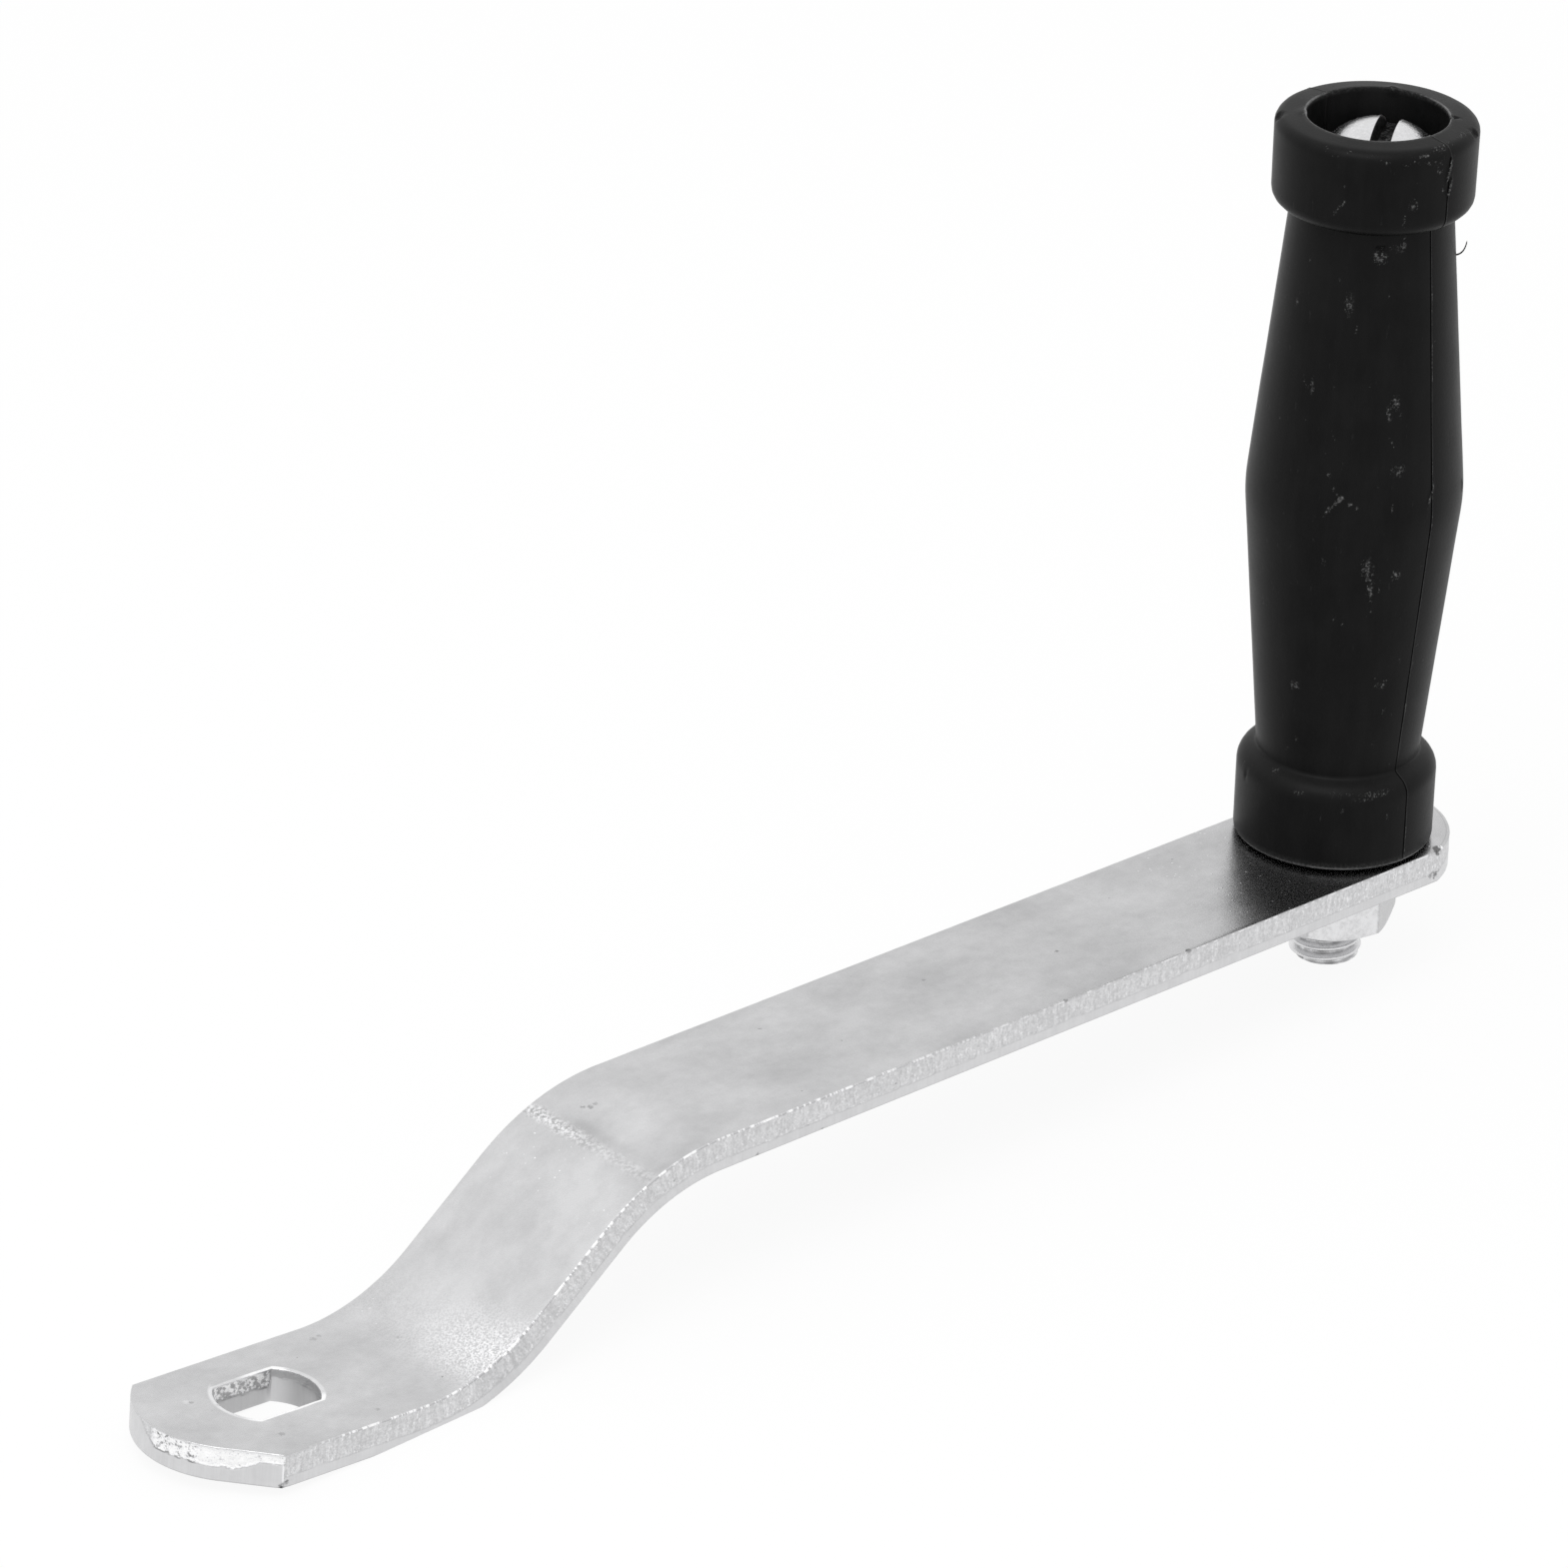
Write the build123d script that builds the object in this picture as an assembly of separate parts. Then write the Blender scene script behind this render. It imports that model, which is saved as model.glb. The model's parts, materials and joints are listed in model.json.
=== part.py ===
"""Crank handle: a joggled flat-bar arm with a free-turning moulded grip on a slotted screw.

Frame, in millimetres: the origin is the centre of the drive hole on the hub pad's upper face,
+X runs along the arm to the grip, and +Z runs up the grip's axis, square to the raised arm.
Each piece is written to its own STEP file in parts/.
"""

from build123d import *

import os
from math import cos, radians, sin, tan

# Flat bar that the arm is blanked and pressed from.
bar_width = 25.0
bar_thickness = 4.8
hole_line_offset = 1.2  # both holes and both end arcs lie this far from the bar's own centre line
edge_roll = 0.35  # rolled-over edge that blanking leaves round the upper face

# Arm in side view.
throw = 186.0  # drive hole to grip axis
joggle_rise = 20.7  # hub pad's upper face, at the drive hole, to the raised arm's upper face
joggle_start = 52.3  # drive hole to the line where the raised arm would meet the ramp
ramp_angle = 37.7
hub_tilt = 3.4  # the hub pad springs up towards its free end
bend_radius = 26.5  # inside of each bend

# Arm in plan. The hub end's arc runs on as a straight to the bar's near side.
hub_end_radius = 13.5
hub_end_setback = 3.4  # arc's centre, beyond the drive hole
hub_end_shift = 1.3  # arc's centre, off the hole line
hub_corner_setback = 8.1  # near corner, beyond the drive hole
grip_end_radius = 14.5
grip_end_setback = 2.4  # arc's centre, beyond the grip axis

# Double-D drive hole, its flats along the arm.
drive_hole_diameter = 13.6
drive_hole_across_flats = 9.8

# Slotted round-head screw that is the grip's axle.
screw_diameter = 10.0
screw_head_diameter = 17.0
screw_head_height = 6.8
screw_crown_radius = 9.6
slot_width = 2.5
slot_depth = 3.0
slot_angle = 38.0  # slot's direction, turned from the arm's
thread_clearance = 0.05  # radial, screw in the arm's tapped hole and in the nut
screw_projection = 5.8  # screw end beyond the nut
screw_chamfer = 1.4

# Lock nut under the arm.
nut_across_flats = 17.0
nut_height = 8.2
nut_chamfer_angle = 30.0
nut_angle = -24.0  # one corner's direction, turned from the arm's
nut_mouth_chamfer = 0.6

# Moulded grip: two collars with a body of two cones between them.
grip_length = 105.2
lower_collar_diameter = 27.5
upper_collar_diameter = 27.2
lower_collar_height = 13.2
upper_collar_height = 12.5
shoulder_fall = 1.4  # the lower collar's shoulder slopes down by this from the body
shoulder_round = 2.2
brim_round = 2.0  # upper collar's lower edge
lower_neck_diameter = 22.7
upper_neck_diameter = 22.2
belly_diameter = 29.7
belly_height = 51.6
belly_round = 25.0
foot_chamfer = 0.8
rim_round = 1.0
rim_fall = 0.4  # the top ring's outer edge lies this far under its inner edge
recess_diameter = 19.0
crown_depth = 1.3  # screw's crown under the grip's top
grip_running_fit = 0.1  # radial, grip bore on the screw
grip_base_gap = 0.4  # end play under the grip
grip_head_gap = 0.3  # end play under the screw's head

# Tool bodies reach this far past what they cut.
overcut = 5.0

# A face counts as an upper one above the first of these normals, and as a wall under the second.
upright = 0.5
level = 0.2

# Levels along the grip's axis, worked out from the sizes above.
arm_top = joggle_rise
arm_bottom = arm_top - bar_thickness
grip_base = arm_top + grip_base_gap
grip_top = grip_base + grip_length
screw_crown = grip_top - crown_depth
screw_seat = screw_crown - screw_head_height
recess_floor = screw_seat - grip_head_gap
nut_bottom = arm_bottom - nut_height
screw_end = nut_bottom - screw_projection

grip_axis = Pos(throw, 0, 0)
hub_plane = Rot(0, hub_tilt, 0)  # upper face of the hub pad, with the origin at the drive hole


def side_profile() -> Face:
    """Returns the arm's section along its length: three straights, two concentric bends."""
    reach = hub_end_setback + hub_end_radius + overcut
    foot_x = (joggle_start * tan(radians(ramp_angle)) - joggle_rise) / (
        tan(radians(ramp_angle)) + tan(radians(hub_tilt))
    )
    hub_end = Vector(-reach, 0, reach * tan(radians(hub_tilt)))
    foot = Vector(foot_x, 0, -foot_x * tan(radians(hub_tilt)))
    brow = Vector(joggle_start, 0, joggle_rise)
    tip = Vector(throw + grip_end_setback + grip_end_radius + overcut, 0, joggle_rise)

    def under(point: Vector, before: float, after: float) -> Vector:
        """Returns the point of the lower face that mirrors an upper one across the bar."""
        middle = radians((before + after) / 2)
        depth = bar_thickness / cos(radians((after - before) / 2))
        return point + Vector(sin(middle), 0, -cos(middle)) * depth

    hub_under = under(hub_end, -hub_tilt, -hub_tilt)
    foot_under = under(foot, -hub_tilt, ramp_angle)
    brow_under = under(brow, ramp_angle, 0)
    tip_under = under(tip, 0, 0)
    outline = Polyline(
        hub_end, foot, brow, tip, tip_under, brow_under, foot_under, hub_under, close=True
    )
    section = make_face(outline).face()
    bends = (
        (foot, bend_radius),
        (foot_under, bend_radius + bar_thickness),
        (brow, bend_radius + bar_thickness),
        (brow_under, bend_radius),
    )
    for corner, radius in bends:
        section = section.fillet_2d(radius, [section.vertices().sort_by_distance(corner)[0]])
    return section


def hub_end_tool() -> Part:
    """Returns what the hub end's blanking tool leaves: a disc, the bar behind it and the hull of both."""
    disc = Pos(-hub_end_setback, hub_end_shift) * Circle(hub_end_radius)
    near_side = bar_width / 2 + hole_line_offset
    strip = Pos(throw - hub_corner_setback, 0) * Rectangle(2 * throw, 2 * near_side)
    outline = make_hull(disc.edges() + strip.edges())
    return hub_plane * extrude(outline, amount=throw, both=True)


def grip_end_tool() -> Part:
    """Returns what the grip end's blanking tool leaves: a disc and all that lies behind it."""
    disc = Pos(grip_end_setback, 0) * Circle(grip_end_radius)
    strip = Pos(grip_end_setback - throw, 0) * Rectangle(2 * throw, 2 * grip_end_radius)
    return grip_axis * extrude(disc + strip, amount=throw, both=True)


def make_arm() -> Part:
    """Returns the arm: bar pressed to a joggle, with rounded ends, drive hole and tapped hole."""
    bar = extrude(side_profile(), amount=bar_width / 2, dir=(0, 1, 0), both=True)
    bar = Pos(0, -hole_line_offset, 0) * bar
    arm = bar & hub_end_tool() & grip_end_tool()
    double_d = Circle(drive_hole_diameter / 2) & Rectangle(drive_hole_diameter, drive_hole_across_flats)
    arm -= hub_plane * extrude(double_d, amount=bar_thickness + overcut, both=True)
    tapped = Cylinder(screw_diameter / 2 + thread_clearance, 2 * (bar_thickness + overcut))
    arm -= grip_axis * Pos(0, 0, arm_top) * tapped
    return chamfer(upper_edges(arm), edge_roll)


def upper_edges(arm: Part) -> ShapeList[Edge]:
    """Returns the edges where the arm's upper faces meet its sides and its holes' walls."""
    uppers = [face for face in arm.faces() if face.normal_at(face.center()).Z > upright]
    walls = [face for face in arm.faces() if abs(face.normal_at(face.center()).Z) < level]
    wall_edges = [edge for wall in walls for edge in wall.edges()]
    return ShapeList(edge for face in uppers for edge in face.edges() if edge in wall_edges)


def make_screw() -> Part:
    """Returns the screw: slotted round head, plain shank and chamfered end."""
    head_radius = screw_head_diameter / 2
    crown_centre = screw_crown - screw_crown_radius
    ball = Pos(0, 0, crown_centre) * Sphere(screw_crown_radius)
    drum = Pos(0, 0, screw_seat) * Cylinder(
        head_radius, screw_head_height + overcut, align=(Align.CENTER, Align.CENTER, Align.MIN)
    )
    head = drum & ball
    shank = Pos(0, 0, screw_end) * Cylinder(
        screw_diameter / 2, screw_seat - screw_end, align=(Align.CENTER, Align.CENTER, Align.MIN)
    )
    shank = chamfer(shank.edges().group_by(Axis.Z)[0], screw_chamfer)
    slot = Pos(0, 0, screw_crown) * Rot(0, 0, slot_angle) * Box(
        screw_head_diameter + overcut, slot_width, 2 * slot_depth
    )
    return grip_axis * (head + shank - slot)


def make_nut() -> Part:
    """Returns the hexagon nut, chamfered at both faces and at its hole's mouths."""
    corner_radius = nut_across_flats / 2 / cos(radians(30))
    hexagon = RegularPolygon(nut_across_flats / 2, 6, major_radius=False, rotation=nut_angle)
    blank = Pos(0, 0, nut_bottom) * extrude(hexagon, amount=nut_height)
    fall = (corner_radius - nut_across_flats / 2) * tan(radians(nut_chamfer_angle))
    face_radius = nut_across_flats / 2
    turned = Polyline(
        (0, 0, nut_bottom),
        (face_radius, 0, nut_bottom),
        (corner_radius, 0, nut_bottom + fall),
        (corner_radius, 0, arm_bottom - fall),
        (face_radius, 0, arm_bottom),
        (0, 0, arm_bottom),
        close=True,
    )
    nut = blank & revolve(make_face(turned), Axis.Z)
    hole = Pos(0, 0, nut_bottom) * Cylinder(
        screw_diameter / 2 + thread_clearance, nut_height, align=(Align.CENTER, Align.CENTER, Align.MIN)
    )
    nut -= hole
    mouths = nut.edges().filter_by(GeomType.CIRCLE).filter_by(
        lambda edge: edge.radius < screw_diameter / 2 + 2 * thread_clearance
    )
    return grip_axis * chamfer(mouths, nut_mouth_chamfer)


def grip_profile() -> Face:
    """Returns half of the grip's section: bore, recess, collars and the two-cone body."""
    bore = screw_diameter / 2 + grip_running_fit
    recess = recess_diameter / 2
    foot = Vector(lower_collar_diameter / 2, 0, grip_base)
    shoulder = foot + Vector(0, 0, lower_collar_height - shoulder_fall)
    lower_neck = Vector(lower_neck_diameter / 2, 0, grip_base + lower_collar_height)
    belly = Vector(belly_diameter / 2, 0, grip_base + belly_height)
    upper_neck = Vector(upper_neck_diameter / 2, 0, grip_top - upper_collar_height)
    brim = Vector(upper_collar_diameter / 2, 0, upper_neck.Z)
    rim = Vector(upper_collar_diameter / 2, 0, grip_top - rim_fall)
    foot_side = foot + Vector(0, 0, foot_chamfer)
    foot_face = foot - Vector(foot_chamfer, 0, 0)
    inner_rim = Vector(recess, 0, grip_top)
    bore_foot = Vector(bore, 0, grip_base)
    bore_top = Vector(bore, 0, recess_floor)
    recess_corner = Vector(recess, 0, recess_floor)
    inside = Polyline(foot_side, foot_face, bore_foot, bore_top, recess_corner, inner_rim)
    outside = Polyline(inner_rim, rim, brim, upper_neck, belly, lower_neck, shoulder, foot_side)
    section = make_face(Wire(inside.edges() + outside.edges())).face()
    rounds = (
        (shoulder, shoulder_round),
        (belly, belly_round),
        (brim, brim_round),
        (rim, rim_round),
    )
    for corner, radius in rounds:
        section = section.fillet_2d(radius, [section.vertices().sort_by_distance(corner)[0]])
    return section


def make_grip() -> Part:
    """Returns the moulded grip, turned about the screw's axis."""
    return grip_axis * revolve(grip_profile(), Axis.Z)


pieces = {
    "arm": make_arm,
    "grip": make_grip,
    "grip_screw": make_screw,
    "lock_nut": make_nut,
}

os.makedirs("parts", exist_ok=True)
for name, make in pieces.items():
    export_step(make(), f"parts/{name}.step")
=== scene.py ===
"""Crank handle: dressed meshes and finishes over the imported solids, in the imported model's frame."""

import itertools
import json
import logging
from dataclasses import dataclass
from enum import Enum
from typing import Any

import bmesh
import bpy
import numpy as np
from mathutils import Matrix, Vector


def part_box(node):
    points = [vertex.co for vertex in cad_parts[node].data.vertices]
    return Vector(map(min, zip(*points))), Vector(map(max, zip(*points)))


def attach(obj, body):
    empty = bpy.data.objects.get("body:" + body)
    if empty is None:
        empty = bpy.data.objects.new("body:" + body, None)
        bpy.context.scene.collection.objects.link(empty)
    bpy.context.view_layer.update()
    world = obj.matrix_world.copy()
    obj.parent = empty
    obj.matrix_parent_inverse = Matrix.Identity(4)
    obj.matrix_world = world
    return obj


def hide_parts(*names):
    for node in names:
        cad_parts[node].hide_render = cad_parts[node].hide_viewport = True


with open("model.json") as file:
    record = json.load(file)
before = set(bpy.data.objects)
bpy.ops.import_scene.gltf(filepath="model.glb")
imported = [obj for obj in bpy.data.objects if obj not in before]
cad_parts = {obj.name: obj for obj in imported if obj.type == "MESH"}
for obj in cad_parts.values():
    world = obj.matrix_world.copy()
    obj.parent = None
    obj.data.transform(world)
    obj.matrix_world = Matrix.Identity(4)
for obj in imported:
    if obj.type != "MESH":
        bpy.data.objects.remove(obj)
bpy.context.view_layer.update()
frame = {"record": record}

LOG = logging.getLogger("crank_handle")
MM = 0.001
TURN = 2 * np.pi
PLATED_TINT = 1.012  # zinc is this much bluer than red


class Slot(Enum):
    """The record's material slots."""

    BAR = "zinc_plated_bar"
    GRIP = "black_moulding"
    SCREW = "zinc_plated_screw"
    NUT = "zinc_plated_nut"


class Body(Enum):
    """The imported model's bodies."""

    CRANK = "crank"
    GRIP = "grip"


# ---------------------------------------------------------------------------------------------
# Noise and profiles as whole arrays


def lattice(cells: np.ndarray, seed: int) -> np.ndarray:
    """Gives each whole-number cell a fixed value: the fraction of a large sine of its weighted sum.

    Args:
        cells: Cell indices, the last axis holding one to three numbers.
        seed: Changes the whole set of values.

    Returns:
        One value from 0 to 1 for each cell.
    """
    weights = np.array([12.9898, 78.233, 37.719])[: cells.shape[-1]]
    return np.modf(np.abs(np.sin(cells @ weights + 4.123 * seed) * 43758.5453))[0]


def smooth_noise(points: np.ndarray, seed: int) -> np.ndarray:
    """Blends the lattice values at a cell's corners with weights 3t^2 - 2t^3 along each axis.

    Args:
        points: Places, the last axis holding one to three numbers, a cell being 1 wide.
        seed: Which set of values.

    Returns:
        Noise from -1 to 1.
    """
    cell = np.floor(points)
    part = points - cell
    ease = part * part * (3 - 2 * part)
    total = np.zeros(points.shape[:-1])
    for corner in itertools.product((0.0, 1.0), repeat=points.shape[-1]):
        side = np.array(corner)
        weight = np.prod(side * ease + (1 - side) * (1 - ease), axis=-1)
        total += weight * lattice(cell + side, seed)
    return 2 * total - 1


def rough_noise(points: np.ndarray, seed: int, octaves: int = 3) -> np.ndarray:
    """Adds octaves of smooth noise, each twice as fine and half as strong as the last.

    Args:
        points: Places, as for smooth_noise.
        seed: Seed of the first octave.
        octaves: How many are added.

    Returns:
        Noise from about -1 to 1.
    """
    layers = [smooth_noise(points * 2.0**i + 7.3 * i, seed + i) / 2**i for i in range(octaves)]
    return np.sum(layers, axis=0) / (2 - 2.0 ** (1 - octaves))


def ease(value: np.ndarray, low: float | np.ndarray, high: float | np.ndarray) -> np.ndarray:
    """Rises from 0 to 1 along 3t^2 - 2t^3 as the value goes from low to high.

    Args:
        value: What is compared.
        low: Where the rise starts.
        high: Where it ends.

    Returns:
        Values from 0 to 1.
    """
    t = np.clip((value - low) / (high - low), 0, 1)
    return t * t * (3 - 2 * t)


def between(value: np.ndarray, ends: tuple[float, float, float, float]) -> np.ndarray:
    """Returns 0 outside the outer two ends and 1 between the inner two, with a soft rise and fall."""
    return ease(value, *ends[:2]) * (1 - ease(value, *ends[2:]))


def spot(distance: np.ndarray, width: float) -> np.ndarray:
    """Returns a bell of height 1 over the distance, exp(-(distance / width)^2)."""
    return np.exp(-((distance / width) ** 2))


def rounded_path(corners: np.ndarray, radii: list[float], step: float) -> np.ndarray:
    """Runs through corners in straights and puts a tangent arc of its own radius into each corner.

    Args:
        corners: Corner points, one row each.
        radii: Radius at each corner, 0 for a sharp one; both ends are taken as sharp.
        step: Longest distance between samples.

    Returns:
        Sampled points from the first corner to the last.
    """
    runs = []
    start = corners[0]
    for before, corner, after, radius in zip(corners, corners[1:], corners[2:], radii[1:-1]):
        inward = (before - corner) / np.linalg.norm(before - corner)
        onward = (after - corner) / np.linalg.norm(after - corner)
        half = np.arccos(np.clip(inward @ onward, -1, 1)) / 2
        reach = radius / np.tan(half)
        runs.append(straight(start, corner + inward * reach, step))
        if radius > 0:
            middle = (inward + onward) / np.linalg.norm(inward + onward)
            centre = corner + middle * radius / np.sin(half)
            side = inward - middle * (inward @ middle)
            side /= np.linalg.norm(side)
            sweep = np.pi / 2 - half
            count = max(6, int(2 * radius * sweep / step))
            angle = np.linspace(sweep, -sweep, count)[:-1, None]
            runs.append(centre - radius * (np.cos(angle) * middle - np.sin(angle) * side))
        start = corner + onward * reach
    runs.append(straight(start, corners[-1], step))
    runs.append(corners[-1:])
    return np.concatenate(runs)


def straight(start: np.ndarray, end: np.ndarray, step: float) -> np.ndarray:
    """Samples a straight from its start up to, and not with, its end.

    Args:
        start: First point.
        end: Point after the last.
        step: Longest distance between samples.

    Returns:
        The samples, one row each.
    """
    count = max(1, int(np.ceil(np.linalg.norm(end - start) / step)))
    share = np.arange(count)[:, None] / count
    return start + (end - start) * share


def node_box(node: str) -> tuple[np.ndarray, np.ndarray]:
    """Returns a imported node's lowest and highest corner, in millimetres."""
    low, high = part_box(node)
    return np.array(low) / MM, np.array(high) / MM


def middle_of(node: str) -> float:
    """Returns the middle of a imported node's box along X, in millimetres."""
    low, high = node_box(node)
    return (low[0] + high[0]) / 2


def vectors(*parts: float | np.ndarray) -> np.ndarray:
    """Stacks parts of one shape, or numbers, into vectors along a new last axis."""
    return np.stack(np.broadcast_arrays(*parts), axis=-1)


def turned(axis: float, radius: np.ndarray, angle: np.ndarray, height: np.ndarray) -> np.ndarray:
    """Puts radii, angles and heights round an upright axis at y = 0 into points."""
    return vectors(axis + radius * np.cos(angle), radius * np.sin(angle), height)


def turn_from(angle: np.ndarray, start: float) -> np.ndarray:
    """Returns the angle from a start, from minus to plus half a turn."""
    return (angle - start + np.pi) % TURN - np.pi


# ---------------------------------------------------------------------------------------------
# Meshes from grids


class Press:
    """Gathers grids of points, in millimetres, and strikes one closed mesh from them."""

    def __init__(self) -> None:
        """Starts empty."""
        self.points: list[np.ndarray] = []
        self.faces: list[np.ndarray] = []
        self.fields: dict[str, list[np.ndarray]] = {}
        self.count = 0

    def grid(self, points: np.ndarray, closed: bool = False, **fields: np.ndarray) -> None:
        """Adds a grid of quads.

        Args:
            points: Rows by columns by three.
            closed: Whether the last column joins the first.
            **fields: Further vectors kept on the points, each rows by columns by three.
        """
        rows, columns = points.shape[:2]
        index = np.arange(rows * columns).reshape(rows, columns) + self.count
        if closed:
            index = np.concatenate([index, index[:, :1]], axis=1)
        quads = [index[:-1, :-1], index[:-1, 1:], index[1:, 1:], index[1:, :-1]]
        self.faces.append(np.stack(quads, axis=-1).reshape(-1, 4))
        self.points.append(points.reshape(-1, 3))
        for name, values in fields.items():
            self.fields.setdefault(name, []).append(values.reshape(-1, 3))
        self.count += rows * columns

    def strike(self, name: str, sharp: float) -> bpy.types.Object:
        """Merges the grids' shared points, turns every face outwards and makes the object.

        Args:
            name: Object and mesh name.
            sharp: Edges that turn more than this many degrees stay crisp.

        Returns:
            The object, linked to the scene, at the origin.
        """
        mesh = bpy.data.meshes.new(name)
        points = np.concatenate(self.points) * MM
        mesh.from_pydata(points.tolist(), [], np.concatenate(self.faces).tolist())
        for kept, values in self.fields.items():
            layer = mesh.attributes.new(kept, "FLOAT_VECTOR", "POINT")
            layer.data.foreach_set("vector", np.concatenate(values).astype(np.float32).ravel())
        shell = bmesh.new()
        shell.from_mesh(mesh)
        bmesh.ops.remove_doubles(shell, verts=shell.verts, dist=0.002 * MM)
        bmesh.ops.dissolve_degenerate(shell, edges=shell.edges, dist=0.001 * MM)
        bmesh.ops.recalc_face_normals(shell, faces=shell.faces)
        shell.to_mesh(mesh)
        shell.free()
        mesh.shade_smooth()
        mesh.set_sharp_from_angle(angle=np.radians(sharp))
        made = bpy.data.objects.new(name, mesh)
        bpy.context.scene.collection.objects.link(made)
        return made


# ---------------------------------------------------------------------------------------------
# Shader maths


class Signal:
    """A node's output socket that takes part in sums like a number or a vector."""

    def __init__(self, board: "Board", socket: bpy.types.NodeSocket) -> None:
        """Keeps the socket and the board that it is on."""
        self.board = board
        self.socket = socket

    def _math(self, operation: str, *values: Any) -> "Signal":
        """Adds a Math node for an operation on signals or numbers, and returns its result."""
        return self.board.node("Math", {"operation": operation}, dict(enumerate(values)))[0]

    def _vector_math(self, operation: str, *others: Any) -> "Signal":
        """Adds a Vector Math node for an operation on self and others, and returns its result."""
        return self.board.node("VectorMath", {"operation": operation}, dict(enumerate((self, *others))))[0]

    def __add__(self, other: Any) -> "Signal":
        """Returns self + other."""
        return self._math("ADD", self, other)

    def __sub__(self, other: Any) -> "Signal":
        """Returns self - other."""
        return self._math("SUBTRACT", self, other)

    def __rsub__(self, other: Any) -> "Signal":
        """Returns other - self."""
        return self._math("SUBTRACT", other, self)

    def __mul__(self, other: Any) -> "Signal":
        """Returns self * other."""
        return self._math("MULTIPLY", self, other)

    __radd__ = __add__
    __rmul__ = __mul__

    def __abs__(self) -> "Signal":
        """Returns the value without its sign."""
        return self._math("ABSOLUTE", self)

    def most(self, other: Any) -> "Signal":
        """Returns the larger of self and other."""
        return self._math("MAXIMUM", self, other)

    def least(self, other: Any) -> "Signal":
        """Returns the smaller of self and other."""
        return self._math("MINIMUM", self, other)

    def rise(self, low: float, high: float) -> "Signal":
        """Returns 0 below low and 1 above high, with a smooth rise between."""
        ends = {0: self, 1: low, 2: high, 3: 0.0, 4: 1.0}
        return self.board.node("MapRange", {"interpolation_type": "SMOOTHSTEP"}, ends)[0]

    def fall(self, low: float, high: float) -> "Signal":
        """Returns 1 below low and 0 above high, with a smooth fall between."""
        return 1 - self.rise(low, high)

    def stretched(self, x: float, y: float, z: float) -> "Signal":
        """Returns the vector with each part multiplied by its own number."""
        return self._vector_math("MULTIPLY", (x, y, z))

    def moved(self, other: "Signal") -> "Signal":
        """Returns the vector plus another."""
        return self._vector_math("ADD", other)

    def length(self) -> "Signal":
        """Returns the vector's length."""
        return self._vector_math("LENGTH")

    def distance(self, place: tuple[float, float, float]) -> "Signal":
        """Returns how far the vector lies from a place."""
        return self._vector_math("DISTANCE", place)

    def near(self, place: tuple[float, float, float], size: float) -> "Signal":
        """Returns 1 at a place and 0 from one size away, with a soft edge."""
        return self.distance(place).fall(size * 0.4, size)

    def parts(self) -> tuple["Signal", "Signal", "Signal"]:
        """Returns the vector's three parts."""
        split = self.board.node("SeparateXYZ", {}, {0: self})
        return split[0], split[1], split[2]


Layer = tuple[float, float, Signal, Signal]  # dark and light grey, share of the light one, cover


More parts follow.
